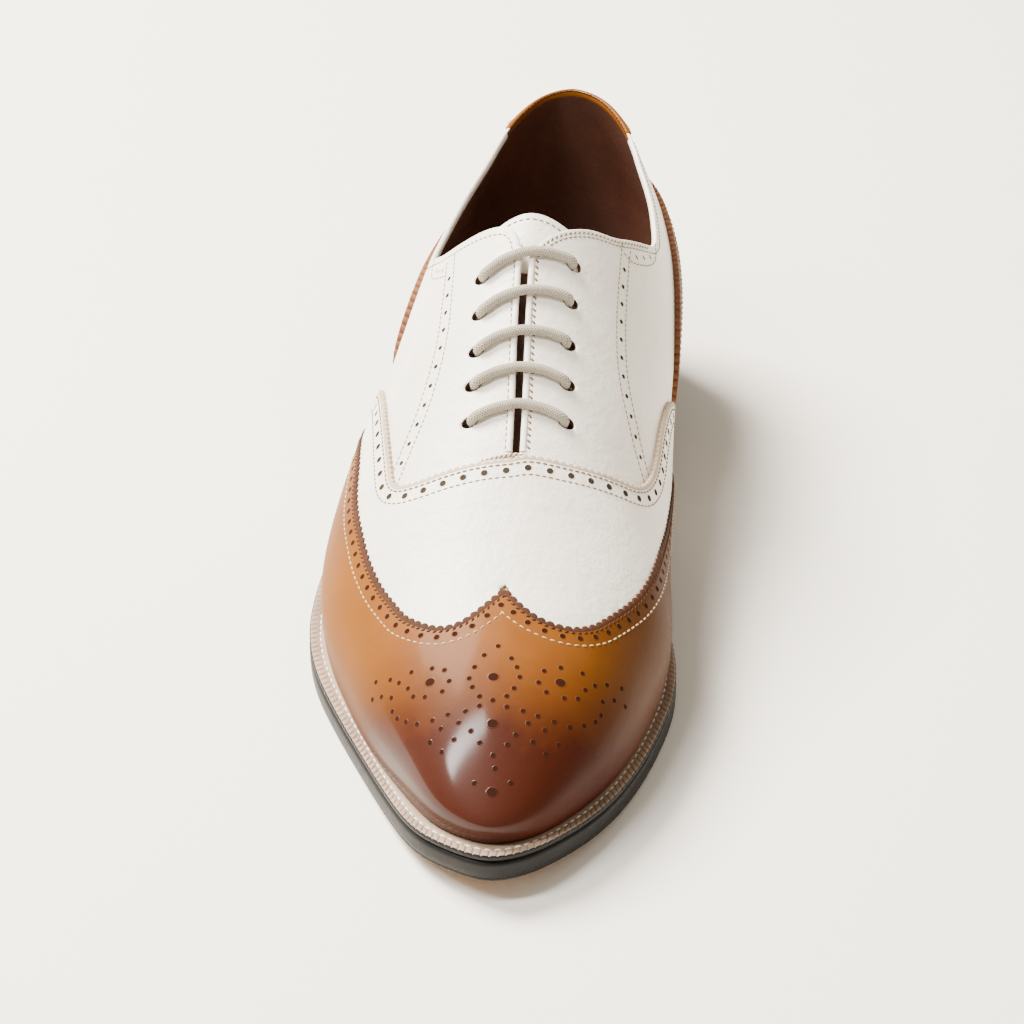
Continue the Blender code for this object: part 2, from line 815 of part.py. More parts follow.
def lace_path():
    """Centre line of the lace through the eyelets, in the shared frame."""
    path = []
    bend = 0.0016
    deep = WALL + 0.0001
    for k, (row, side) in enumerate(LACE_ORDER):
        line, v = eyelet(row, side)
        here, normal, up, along = local_axes(line, v)
        outside_next = k % 2 == 0
        out = [
            here - normal * deep,
            here,
            here + normal * 0.0006 + up * 0.0002,
            here + normal * 0.0014 + up * 0.0007,
            here + normal * 0.0018 + up * 0.0018,
        ]
        partner = LACE_ORDER[k + 1] if not outside_next and k + 1 < len(LACE_ORDER) else None
        if outside_next and k > 0:
            partner = LACE_ORDER[k - 1]
        heading = along
        if partner is not None:
            other, w = eyelet(*partner)
            target = np.array(to_frame(other.point(w)))
            heading = along if np.dot(target - here, along) > 0 else -along
        elif k == 0:
            heading = along
        else:
            heading = -along
        under_side = [
            here - normal * (deep + 0.0006) + heading * 0.0002,
            here - normal * (deep + 0.0014) + heading * 0.0007,
            here - normal * (deep + 0.0018) + heading * 0.0018,
        ]
        if outside_next:
            path += under_side[::-1] + out
            path += bar_points(LACE_ORDER[k], LACE_ORDER[k + 1])
        else:
            path += out[::-1] + under_side
            if partner is not None:
                path += run_points(LACE_ORDER[k], partner, LACE_RUNS[(k - 1) // 2])
    return path


def bar_points(first, second):
    """Points of a bar between two facing eyelets, over the crest."""
    line_a, v_a = eyelet(*first)
    line_b, v_b = eyelet(*second)
    points = []
    for share in (0.22, 0.36, 0.5, 0.64, 0.78):
        place = line_a.place + (line_b.place - line_a.place) * share
        if share < 0.5:
            side = first[1]
            v = v_a + (1 - v_a) * share / 0.5
        else:
            side = second[1]
            v = v_b + (1 - v_b) * (1 - share) / 0.5
        rise = LACE / 2 + 0.0004
        points.append(np.array(to_frame(rib(side, round(place, 6)).point(v, rise))))
    return points


def run_points(first, second, sideways):
    """Hidden run under a facing, between two eyelets of one side."""
    line_a, v_a = eyelet(*first)
    line_b, v_b = eyelet(*second)
    points = []
    far = abs(first[0] - second[0]) > 1
    shares = (0.14, 0.26, 0.38, 0.5, 0.62, 0.74, 0.86) if far else (0.3, 0.5, 0.7)
    for share in shares:
        place = line_a.place + (line_b.place - line_a.place) * share
        middle = min(max((share - 0.1) / 0.8, 0), 1)
        v = v_a + (v_b - v_a) * share + sideways * math.sin(math.pi * middle) ** 0.7
        points.append(np.array(to_frame(rib(first[1], round(place, 6)).point(v, -LACE_DEPTH))))
    return points


LACE_DEPTH = WALL + LACE / 2 + 0.0007
TONGUE_DEPTH = LACE_DEPTH + LACE / 2 + 0.0006


def build_lace():
    path = lace_path()
    sides = 8
    verts = []
    faces = []
    tangents = []
    for i in range(len(path)):
        step = path[min(i + 1, len(path) - 1)] - path[max(i - 1, 0)]
        tangents.append(step / np.linalg.norm(step))
    across = np.cross(tangents[0], (0.0, 0.0, 1.0))
    if np.linalg.norm(across) < 0.1:
        across = np.cross(tangents[0], (1.0, 0.0, 0.0))
    for i, point in enumerate(path):
        across = across - tangents[i] * np.dot(across, tangents[i])
        across = across / np.linalg.norm(across)
        other = np.cross(tangents[i], across)
        for k in range(sides):
            a = 2 * math.pi * k / sides
            verts.append(point + (across * math.cos(a) + other * math.sin(a)) * LACE / 2)
    for i in range(len(path) - 1):
        for k in range(sides):
            j = (k + 1) % sides
            faces.append((i * sides + k, i * sides + j, (i + 1) * sides + j, (i + 1) * sides + k))
    faces.append(tuple(reversed(range(sides))))
    faces.append(tuple((len(path) - 1) * sides + k for k in range(sides)))
    make_object("lace", verts, faces)


for item in list(bpy.data.objects):
    bpy.data.objects.remove(item, do_unlink=True)

MIDDLE = (SOLE_CURVE[:, 0].min() + SOLE_CURVE[:, 0].max()) / 2
cut_eyelets(build_upper())
build_panels()
build_bottom()
build_heel()
build_lace()
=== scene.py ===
import math

import bmesh
import bpy
import numpy as np
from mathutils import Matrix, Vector
from mathutils.bvhtree import BVHTree


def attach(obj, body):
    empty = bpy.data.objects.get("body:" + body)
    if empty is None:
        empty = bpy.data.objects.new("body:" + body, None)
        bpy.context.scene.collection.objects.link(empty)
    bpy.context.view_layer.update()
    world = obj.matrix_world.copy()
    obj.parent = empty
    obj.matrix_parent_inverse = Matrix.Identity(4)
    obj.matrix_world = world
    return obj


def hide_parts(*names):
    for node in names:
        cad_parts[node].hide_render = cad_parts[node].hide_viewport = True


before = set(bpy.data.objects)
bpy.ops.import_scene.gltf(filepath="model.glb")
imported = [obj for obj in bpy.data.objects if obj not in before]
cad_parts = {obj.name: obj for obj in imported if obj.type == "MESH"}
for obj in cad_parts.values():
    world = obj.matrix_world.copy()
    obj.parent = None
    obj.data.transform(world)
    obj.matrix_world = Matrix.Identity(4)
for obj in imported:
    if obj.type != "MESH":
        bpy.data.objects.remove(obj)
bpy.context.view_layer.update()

# Driving dimensions, metres
LENGTH = 0.297
BALL_WIDTH = 0.111
TOP_HEIGHT = 0.106
HEEL_HEIGHT = 0.026
HEEL_LENGTH = 0.072
TOE_SPRING = 0.007
SOLE = 0.0068
WELT = 0.0023
WALL = 0.0022
PANEL = 0.0012
TOP_LIFT = 0.006
TONGUE = 0.0020
LACE = 0.0030
EYELET = 0.0040
SLIT = 0.0022
GAP = 0.0003
SEAM = 0.0006

# Shares of LENGTH, measured from the heel
HEEL_FOCUS = 0.125
TOE_FOCUS = 0.760
CONE_BACK = 0.028
FLAT_FROM = 0.615
FLAT_TO = 0.765
UPPER_BACK = 0.002
UPPER_TIP = 0.9765
WIDEST = 0.18

# Sole outline: station (share of LENGTH), lateral and medial half widths (shares of BALL_WIDTH)
SOLE_ROWS = [
    (0.0085, 0.113, 0.113), (0.034, 0.221, 0.221), (0.085, 0.302, 0.297), (0.160, 0.322, 0.308),
    (0.275, 0.365, 0.285), (0.400, 0.465, 0.275), (0.510, 0.558, 0.325), (0.610, 0.586, 0.385),
    (0.694, 0.551, 0.413), (0.765, 0.473, 0.387), (0.842, 0.370, 0.329), (0.912, 0.275, 0.245),
    (0.960, 0.193, 0.153), (0.9865, 0.103, 0.081),
]

# Upper at its widest: station, lateral and medial half widths
UPPER_ROWS = [
    (0.012, 0.115, 0.115), (0.036, 0.207, 0.207), (0.085, 0.292, 0.290), (0.160, 0.337, 0.330),
    (0.275, 0.394, 0.348), (0.400, 0.452, 0.350), (0.510, 0.508, 0.358), (0.610, 0.530, 0.367),
    (0.694, 0.502, 0.381), (0.765, 0.432, 0.352), (0.842, 0.332, 0.292), (0.905, 0.232, 0.208),
    (0.948, 0.150, 0.128), (0.969, 0.075, 0.062),
]

# Crest of the last: station, height (share of TOP_HEIGHT), sideways offset (share of BALL_WIDTH)
CREST_ROWS = [
    (0.00, 1.100, 0.000), (0.12, 1.120, 0.000), (0.20, 1.150, -0.010), (0.27, 1.150, -0.026),
    (0.33, 1.090, -0.040), (0.38, 1.010, -0.050), (0.43, 0.925, -0.050), (0.48, 0.850, -0.046),
    (0.54, 0.757, -0.038), (0.62, 0.645, -0.030), (0.70, 0.545, -0.026), (0.77, 0.480, -0.023),
    (0.84, 0.440, -0.018), (0.90, 0.395, -0.010), (0.95, 0.335, -0.004), (1.00, 0.255, 0.000),
]

# Half width of the open top behind the crest: station, share of BALL_WIDTH
OPEN_ROWS = [
    (0.00, 0.020), (0.12, 0.030), (0.20, 0.072), (0.27, 0.060), (0.31, 0.028), (0.338, 0.0),
]

# Section shape: station, height of the widest line (share), tuck (share of BALL_WIDTH),
# then wall and crown fullness for the lateral and for the medial side
SHAPE_ROWS = [
    (0.00, 0.26, 0.040, 0.15, 0.30, 0.15, 0.30), (0.20, 0.24, 0.040, 0.15, 0.32, 0.15, 0.32),
    (0.30, 0.24, 0.040, 0.22, 0.38, 0.25, 0.38), (0.40, 0.24, 0.040, 0.30, 0.42, 0.38, 0.42),
    (0.55, 0.26, 0.032, 0.34, 0.44, 0.46, 0.46), (0.70, 0.28, 0.022, 0.42, 0.50, 0.48, 0.50),
    (0.85, 0.30, 0.014, 0.50, 0.62, 0.50, 0.62), (1.00, 0.34, 0.009, 0.52, 0.66, 0.52, 0.66),
]

# Forward lean of the section lines: place (share of LENGTH), lateral and medial (shares of LENGTH)
LEAN_ROWS = [
    (0.44, 0.000, 0.000), (0.48, 0.006, 0.001), (0.52, 0.017, 0.003), (0.56, 0.029, 0.006),
    (0.60, 0.036, 0.010), (0.64, 0.036, 0.014), (0.70, 0.029, 0.018), (0.76, 0.020, 0.020),
]

# Collar and throat edge: place, lateral and medial share of the section line
COLLAR_ROWS = [
    (0.000, 0.659, 0.659), (0.020, 0.655, 0.655), (0.040, 0.649, 0.649), (0.070, 0.630, 0.630),
    (0.100, 0.603, 0.603), (0.140, 0.558, 0.559), (0.180, 0.512, 0.524), (0.220, 0.468, 0.492),
    (0.250, 0.441, 0.476), (0.272, 0.434, 0.492), (0.290, 0.448, 0.528), (0.305, 0.484, 0.566),
    (0.320, 0.528, 0.607), (0.334, 0.572, 0.650), (0.345, 0.617, 0.700), (0.354, 0.667, 0.748),
    (0.361, 0.716, 0.783), (0.3665, 0.766, 0.810), (0.371, 0.815, 0.833), (0.376, 0.871, 0.857),
    (0.382, 0.923, 0.885), (0.390, 0.957, 0.920), (0.400, 0.975, 0.955), (0.414, 0.990, 0.980),
]

# The slit between the facings ends here
SLIT_END = 0.6105

# Top edge of the vamp panel: place, lateral and medial share of the section line
VAMP_ROWS = [
    (0.366, 0.03, 0.05), (0.371, 0.06, 0.10), (0.380, 0.11, 0.165), (0.395, 0.20, 0.230),
    (0.414, 0.295, 0.285), (0.466, 0.447, 0.352), (0.527, 0.550, 0.400), (0.5614, 0.588, 0.460),
    (0.5786, 0.603, 0.525), (0.5884, 0.615, 0.597), (0.5960, 0.638, 0.666), (0.6055, 0.710, 0.770),
    (0.6104, 0.793, 0.842), (0.6129, 0.848, 0.914), (0.6153, 0.901, 0.970), (0.6175, 0.952, 1.0),
    (0.6200, 1.0, 1.0),
]

# Edge of the wing cap: place, lateral and medial share of the section line
CAP_ROWS = [
    (0.402, 0.03, 0.03), (0.408, 0.07, 0.05), (0.422, 0.145, 0.09), (0.440, 0.220, 0.130),
    (0.470, 0.308, 0.175), (0.500, 0.375, 0.210), (0.5246, 0.415, 0.240), (0.5663, 0.453, 0.290),
    (0.6153, 0.497, 0.365), (0.6668, 0.535, 0.446), (0.7036, 0.567, 0.511), (0.7330, 0.605, 0.578),
    (0.7600, 0.645, 0.647), (0.7897, 0.695, 0.715), (0.8100, 0.731, 0.775), (0.8250, 0.762, 0.823),
    (0.8355, 0.790, 0.858), (0.8450, 0.822, 0.893), (0.8517, 0.855, 0.922), (0.8571, 0.915, 0.955),
    (0.8610, 1.0, 1.0),
]

# Heel counter's top edge: place, lateral and medial share of the section line
COUNTER_ROWS = [
    (0.00, 0.405, 0.405), (0.06, 0.402, 0.400), (0.12, 0.385, 0.372), (0.18, 0.372, 0.322),
    (0.25, 0.362, 0.275), (0.29, 0.345, 0.245), (0.312, 0.315, 0.217), (0.327, 0.272, 0.185),
    (0.340, 0.200, 0.138), (0.3495, 0.110, 0.080), (0.354, 0.04, 0.035),
]

# Heel tab's bottom edge: place, share of the section line on both sides
TAB_ROWS = [
    (0.00, 0.553), (0.03, 0.556), (0.06, 0.574), (0.08, 0.590), (0.10, 0.603),
]

# Tongue edge: place, share of the section line on both sides
TONGUE_ROWS = [
    (0.3510, 0.925), (0.3525, 0.860), (0.3550, 0.800), (0.3600, 0.765), (0.370, 0.745), (0.400, 0.725),
    (0.500, 0.725), (0.580, 0.750), (0.645, 0.800),
]

# Eyelets from the top row down: lateral place and share, medial place and share
EYELET_ROWS = [
    (0.4235, 0.835, 0.404, 0.808), (0.4616, 0.845, 0.443, 0.815), (0.4987, 0.852, 0.487, 0.820),
    (0.5308, 0.853, 0.527, 0.820), (0.5659, 0.855, 0.565, 0.820),
]

# Lace: eyelets in the order that it passes them, as (row, side); sideways share of its hidden runs
LACE_ORDER = [
    (0, 1), (0, -1), (2, -1), (2, 1), (4, 1), (4, -1), (3, -1), (3, 1), (1, 1), (1, -1),
]
LACE_RUNS = [-0.045, -0.045, 0.0, 0.040]


def spline(rows):
    """Natural cubic through rows of (knot, value, value ...)."""
    table = np.array(rows, float)
    k = table[:, 0]
    v = table[:, 1:]
    n = len(k)
    h = np.diff(k)
    a = np.eye(n)
    b = np.zeros_like(v)
    for i in range(1, n - 1):
        a[i, i - 1:i + 2] = (h[i - 1], 2 * (h[i - 1] + h[i]), h[i])
        b[i] = 6 * ((v[i + 1] - v[i]) / h[i] - (v[i] - v[i - 1]) / h[i - 1])
    m = np.linalg.solve(a, b)

    def value(x):
        x = min(max(x, k[0]), k[-1])
        i = min(max(int(np.searchsorted(k, x)) - 1, 0), n - 2)
        p = k[i + 1] - x
        q = x - k[i]
        curve = (m[i] * p ** 3 + m[i + 1] * q ** 3) / (6 * h[i])
        return curve + (v[i] / h[i] - m[i] * h[i] / 6) * p + (v[i + 1] / h[i] - m[i + 1] * h[i] / 6) * q

    return value


def closed_curve(points, count=1200):
    """Periodic cubic through the points, as (x, station) pairs."""
    p = np.array(points, float)
    n = len(p)
    ring = np.vstack([p, p[:1]])
    h = np.linalg.norm(np.diff(ring, axis=0), axis=1) ** 0.5
    h = h / h.sum()
    a = np.zeros((n, n))
    b = np.zeros((n, 2))
    for i in range(n):
        a[i, i - 1] += h[i - 1]
        a[i, i] += 2 * (h[i - 1] + h[i])
        a[i, (i + 1) % n] += h[i]
        b[i] = 6 * ((ring[i + 1] - ring[i]) / h[i] - (ring[i] - p[i - 1]) / h[i - 1])
    m = np.linalg.solve(a, b)
    m = np.vstack([m, m[:1]])
    k = np.concatenate([[0], np.cumsum(h)])
    out = []
    for x in np.linspace(0, 1, count, endpoint=False):
        i = min(int(np.searchsorted(k, x, side="right")) - 1, n - 1)
        p1 = k[i + 1] - x
        q1 = x - k[i]
        curve = (m[i] * p1 ** 3 + m[i + 1] * q1 ** 3) / (6 * h[i])
        curve = curve + (ring[i] / h[i] - m[i] * h[i] / 6) * p1
        out.append(curve + (ring[i + 1] / h[i] - m[i + 1] * h[i] / 6) * q1)
    return np.array(out)


def outline(rows, back, tip):
    """Closed outline: heel, lateral side (-x), toe, medial side (+x)."""
    lateral = [(-lat * BALL_WIDTH, s * LENGTH) for s, lat, med in rows]
    medial = [(med * BALL_WIDTH, s * LENGTH) for s, lat, med in reversed(rows)]
    return closed_curve([(0.0, back * LENGTH)] + lateral + [(-0.0008, tip * LENGTH)] + medial)


class Edge:
    """One side of an outline, from the heel to the toe."""

    def __init__(self, curve, side, inset=None):
        start = int(np.argmin(curve[:, 1]))
        ring = np.roll(curve, -start, axis=0)
        if inset is not None:
            step = np.roll(ring, -1, axis=0) - np.roll(ring, 1, axis=0)
            step = step / np.linalg.norm(step, axis=1)[:, None]
            normal = np.column_stack([step[:, 1], -step[:, 0]])
            depth = np.array([inset(t) for t in ring[:, 1]])
            ring = ring + normal * depth[:, None]
        end = int(np.argmax(curve[np.r_[start:len(curve), 0:start], 1]))
        if side < 0:
            self.points = ring[:end + 1]
        else:
            self.points = np.vstack([ring[end:], ring[:1]])[::-1]
        steps = np.linalg.norm(np.diff(self.points, axis=0), axis=1)
        self.run = np.concatenate([[0], np.cumsum(steps)])

    def at_station(self, t):
        return np.array([np.interp(t, self.points[:, 1], self.points[:, 0]), t])

    def at_run(self, d):
        x = np.interp(d, self.run, self.points[:, 0])
        return np.array([x, np.interp(d, self.run, self.points[:, 1])])

    def run_at(self, t):
        return float(np.interp(t, self.points[:, 1], self.run))


SOLE_CURVE = outline(SOLE_ROWS, 0.0, 1.0)
UPPER_CURVE = outline(UPPER_ROWS, UPPER_BACK, UPPER_TIP)
crest = spline(CREST_ROWS)
shape = spline(SHAPE_ROWS)


TRACKS = {}


def column(rows, x, index):
    """Value of a table's column at x, on a smooth curve that doesn't overshoot."""
    key = (id(rows), index)
    if key not in TRACKS:
        k = np.array([r[0] for r in rows], float)
        v = np.array([r[index] for r in rows], float)
        h = np.diff(k)
        d = np.diff(v) / h
        m = np.zeros_like(v)
        for i in range(1, len(k) - 1):
            if d[i - 1] * d[i] > 0:
                a = 2 * h[i] + h[i - 1]
                b = h[i] + 2 * h[i - 1]
                m[i] = (a + b) / (a / d[i - 1] + b / d[i])
        m[0] = d[0]
        m[-1] = d[-1]
        TRACKS[key] = (k, v, m)
    k, v, m = TRACKS[key]
    x = min(max(x, k[0]), k[-1])
    i = min(max(int(np.searchsorted(k, x)) - 1, 0), len(k) - 2)
    h = k[i + 1] - k[i]
    u = (x - k[i]) / h
    low = (1 + 2 * u) * (1 - u) ** 2 * v[i] + u * (1 - u) ** 2 * h * m[i]
    return float(low + u * u * (3 - 2 * u) * v[i + 1] + u * u * (u - 1) * h * m[i + 1])


def by_side(rows, x, side):
    return column(rows, x, 1 if side < 0 else 2)


def under(t):
    """Height of the outsole's underside at a station."""
    s = t / LENGTH
    seat = 0.85 * HEEL_LENGTH / LENGTH
    u = min(max((s - seat) / (FLAT_FROM - seat), 0.0), 1.0)
    e = min(max((s - FLAT_TO) / (1 - FLAT_TO), 0.0), 1.0)
    return HEEL_HEIGHT * (1 - u * u * (3 - 2 * u)) + TOE_SPRING * e * e


def feather(t):
    return under(t) + SOLE + WELT + 2 * GAP


def tuck(t):
    return shape(t / LENGTH)[1] * BALL_WIDTH


def crest_point(t, side):
    half = column(OPEN_ROWS, t / LENGTH, 1)
    return np.array([(crest(t / LENGTH)[1] + side * half) * BALL_WIDTH, t])


def lean(place, side):
    """How far a rib's foot stands ahead of its crest point, as a share of LENGTH."""
    return by_side(LEAN_ROWS, place, side)


STATIONS = np.linspace(-0.02, LENGTH + 0.02, 2400)
CREST_LINE = np.array([crest(t / LENGTH)[0] * TOP_HEIGHT for t in STATIONS])
FEATHER_LINE = np.array([feather(t) for t in STATIONS])
FINE = np.linspace(0.0, 1.0, 241)
EDGES = {-1: Edge(UPPER_CURVE, -1), 1: Edge(UPPER_CURVE, 1)}
MIDDLE = (SOLE_CURVE[:, 0].min() + SOLE_CURVE[:, 0].max()) / 2


def to_frame(points):
    """From (x, station, height) rows to the shared frame."""
    p = np.atleast_2d(np.array(points, float))
    return np.column_stack([p[:, 0] - MIDDLE, LENGTH / 2 - p[:, 1], p[:, 2]])


class Rib:
    """A section line of the upper from the feather (v = 0) over the widest line to the crest (v = 1)."""

    def __init__(self, side, place):
        self.side = side
        self.place = place
        edge = EDGES[side]
        heel = HEEL_FOCUS * LENGTH
        toe = TOE_FOCUS * LENGTH
        if place < HEEL_FOCUS:
            u = place / HEEL_FOCUS
            self.base = edge.at_run(u * edge.run_at(heel))
            top = crest_point(heel, side)
            angle = u * math.pi / 2
            back = heel - (heel - CONE_BACK * LENGTH) * math.cos(angle)
            self.top = np.array([top[0] * math.sin(angle), back])
        elif place <= TOE_FOCUS:
            t = place * LENGTH
            self.top = crest_point(t, side)
            self.base = edge.at_station(t + lean(place, side) * LENGTH)
        else:
            u = (place - TOE_FOCUS) / (1 - TOE_FOCUS)
            first = edge.run_at(toe + lean(TOE_FOCUS, side) * LENGTH)
            self.base = edge.at_run(first + u * (edge.run[-1] - first))
            self.top = crest_point(toe, side)
        step = self.base - self.top
        self.reach = float(np.linalg.norm(step))
        self.direction = step / self.reach
        self.form = shape(self.base[1] / LENGTH)
        line = self.points(FINE, 0.0)
        steps = np.linalg.norm(np.diff(line, axis=0), axis=1)
        self.arc = np.concatenate([[0], np.cumsum(steps)])

    def points(self, v, lift):
        """Rows of (x, y, z) in the shared frame."""
        v = np.atleast_1d(np.asarray(v, float))
        lift = np.zeros_like(v) + lift
        bulge, inward, wall_l, crown_l, wall_m, crown_m = self.form
        wall, crown = (wall_l, crown_l) if self.side < 0 else (wall_m, crown_m)
        reach = self.reach + lift
        low = v < WIDEST
        angle = (1 - v / WIDEST) * math.pi / 2
        q = np.clip((v - WIDEST) / (1 - WIDEST), 0, 1)
        b = ((1 - q) ** 3, 3 * q * (1 - q) ** 2, 3 * q * q * (1 - q), q ** 3)
        out = np.where(low, 1 - inward * BALL_WIDTH / reach * (1 - np.cos(angle)), b[0] + b[1] + b[2] * crown)
        crowned = bulge * b[0] + (bulge + (1 - bulge) * wall) * b[1] + b[2] + b[3]
        up = np.where(low, bulge * (1 - np.sin(angle)), crowned)
        plan = self.top + self.direction * (reach * out)[:, None]
        base = np.interp(plan[:, 1], STATIONS, FEATHER_LINE)
        top = np.interp(plan[:, 1], STATIONS, CREST_LINE)
        return to_frame(np.column_stack([plan, base + (top + lift - base) * up]))

    def arc_at(self, v):
        """Distance from the crest along the rib."""
        return float(self.arc[-1] - np.interp(v, FINE, self.arc))

    def v_at_arc(self, s):
        return float(np.interp(self.arc[-1] - s, self.arc, FINE))


RIBS = {}


def rib(side, place):
    place = round(place, 6)
    key = (side if 0 < place < 1 else -1, place)
    if key not in RIBS:
        RIBS[key] = Rib(key[0], place)
    return RIBS[key]


def spot(side, place, v, lift=0.0):
    """Point of the upper at a place and a share of its section line."""
    return rib(side, place).points(v, lift)[0]


def spots(rows, side, lift=0.0):
    return np.array([spot(side, place, v, lift) for place, v in rows])


def slit_line(side, reach, first, last):
    """Curve beside the slit, at a distance from its middle."""
    places = np.linspace(first, last, 120)
    return np.array([spot(side, p, rib(side, p).v_at_arc(reach)) for p in places])


# ---- surface for projecting details


def lifted_surface(lift):
    verts = []
    faces = []
    rows = np.linspace(0, 1, 70)
    n = len(rows)
    spans = ((0, HEEL_FOCUS, 40), (HEEL_FOCUS + 0.003, TOE_FOCUS, 210), (TOE_FOCUS + 0.002, 1, 110))
    places = np.concatenate([np.linspace(*span) for span in spans])
    for side in (-1, 1):
        start = len(verts)
        for p in places:
            verts.extend(Vector(c) for c in rib(side, p).points(rows, lift))
        for i in range(len(places) - 1):
            for k in range(n - 1):
                a = start + i * n + k
                face = (a, a + 1, a + n + 1, a + n)
                faces.append(face if side > 0 else tuple(reversed(face)))
    return BVHTree.FromPolygons(verts, faces)


SURFACES = {}

# Line inside the shoe that normals point away from: limits across and along, height
CORE = ((-0.004, 0.012), (-0.11, 0.11), 0.030)

# Spacing of the points on curves
LINE_STEP = 0.0008


def project(point, lift=0.0):
    """Nearest point of the upper's surface at a lift, with its outward normal."""
    if lift not in SURFACES:
        SURFACES[lift] = lifted_surface(lift)
    where, normal, index, distance = SURFACES[lift].find_nearest(Vector(point))
    where = np.array(where)
    normal = np.array(normal)
    inside = np.array([np.clip(where[0], *CORE[0]), np.clip(where[1], *CORE[1]), CORE[2]])
    if np.dot(normal, where - inside) < 0:
        normal = -normal
    return where, normal


def resample(points, step):
    points = np.asarray(points, float)
    gaps = np.linalg.norm(np.diff(points, axis=0), axis=1)
    keep = np.concatenate([[True], gaps > 1e-7])
    points = points[keep]
    run = np.concatenate([[0], np.cumsum(np.linalg.norm(np.diff(points, axis=0), axis=1))])
    count = max(int(round(run[-1] / step)), 1) + 1
    at = np.linspace(0, run[-1], count)
    return np.column_stack([np.interp(at, run, points[:, k]) for k in range(3)])


def soften(points, passes):
    points = np.array(points, float)
    for _ in range(passes):
        points[1:-1] = 0.25 * points[:-2] + 0.5 * points[1:-1] + 0.25 * points[2:]
    return points


def frames(points, lift=0.0):
    """Projected points, normals, tangents and sideways directions (normal x tangent)."""
    points = np.asarray(points, float)
    tangent = np.gradient(points, axis=0)
    out = [project(p, lift) for p in points]
    where = np.array([o[0] for o in out])
    normal = soften(np.array([o[1] for o in out]), 2)
    normal /= np.linalg.norm(normal, axis=1)[:, None]
    tangent -= normal * np.sum(tangent * normal, axis=1)[:, None]
    tangent /= np.linalg.norm(tangent, axis=1)[:, None] + 1e-12
    return where, normal, tangent, np.cross(normal, tangent)


def beside(points, distance, steps=None):
    """Curve on the surface at a distance to the left (seen from outside) of the given one."""
    source = resample(points, LINE_STEP)
    line = source
    count = steps or max(1, int(math.ceil(abs(distance) / 0.0010)))
    for k in range(count):
        where, normal, tangent, across = frames(line)
        line = where + across * (distance / count)
        line = np.array([project(p)[0] for p in line])
        far = np.array([np.min(np.linalg.norm(source - p, axis=1)) for p in line])
        line = line[far > abs(distance) * (k + 1) / count * 0.90]
        line = resample(line, LINE_STEP)
    return soften(line, 2)


def edge_line(share_at, side, first, last):
    """Curve along a panel edge given as share of each rib."""
    at = list(np.linspace(first, last, 160))
    points = [spot(side, p, share_at(p, side)) for p in at]
    i = 0
    while i < len(at) - 1:
        if np.linalg.norm(points[i + 1] - points[i]) > 1.5 * LINE_STEP and at[i + 1] - at[i] > 2e-6:
            p = (at[i] + at[i + 1]) / 2
            at.insert(i + 1, p)
            points.insert(i + 1, spot(side, p, share_at(p, side)))
        else:
            i += 1
    return resample(points, LINE_STEP)


# ---- edges of the panels


# The vamp's top runs on under the cap from this place, at this share
VAMP_HIDDEN = (0.757, 0.985)


def collar(p, side):
    if p <= COLLAR_ROWS[-1][0]:
        return by_side(COLLAR_ROWS, p, side)
    if p < SLIT_END:
        return rib(side, p).v_at_arc(SLIT / 2)
    return 1.0


def vamp_top(p, side):
    return VAMP_HIDDEN[1] if p > VAMP_HIDDEN[0] else by_side(VAMP_ROWS, p, side)


def cap_edge(p, side):
    return by_side(CAP_ROWS, p, side)


def vamp_bottom(p, side):
    """The vamp reaches a little way under the cap."""
    if p < CAP_ROWS[0][0]:
        return 0.0
    return max(cap_edge(p + 0.012, side) - 0.055, 0.0)


def counter_edge(p, side):
    return by_side(COUNTER_ROWS, p, side)


def tab_edge(p, side):
    return column(TAB_ROWS, p, 1)


def tongue_edge(p, side):
    return column(TONGUE_ROWS, p, 1)


def zero(p, side):
    return 0.0


def one(p, side):
    return 1.0


# ---- skins


ROWS = np.linspace(0, 1, 53)


def finer(first, last, functions, side, step, jump=0.022):
    """Places between first and last, closer together where an edge turns quickly."""
    at = [p for p in np.arange(first, last, step)] + [last]
    for special in (HEEL_FOCUS, TOE_FOCUS, SLIT_END):
        if first < special < last:
            at.append(special)
    at = sorted(set(round(p, 6) for p in at))
    i = 0
    while i < len(at) - 1:
        change = max(abs(f(at[i + 1], side) - f(at[i], side)) for f in functions)
        if change > jump and at[i + 1] - at[i] > 0.0004:
            at.insert(i + 1, round((at[i] + at[i + 1]) / 2, 6))
        else:
            i += 1
    return at


def strips_of(first, last, low, high, step=0.0045):
    out = []
    for side in (-1, 1):
        strip = []
        for p in finer(first, last, (low, high), side, step):
            bottom = low(p, side)
            top = high(p, side)
            if top - bottom > 0.008:
                strip.append((rib(side, p), bottom, top))
        out.append(strip)
    out[1].reverse()
    return out


# Distances of the finer rows from a panel's edge
WIDE_BAND = (0.0034, 0.0028, 0.0022, 0.0016, 0.0011, 0.00075, 0.00045, 0.0002, 0.00006, 0.0)
BAND = (0.0016, 0.0011, 0.00075, 0.00045, 0.0002, 0.00006, 0.0)

# Inside the collar: end of the tab, width of its tan band and of the white one ahead of it
TAB_END = 0.0985
TAB_BAND = 0.0013
RIM_BAND = 0.00225


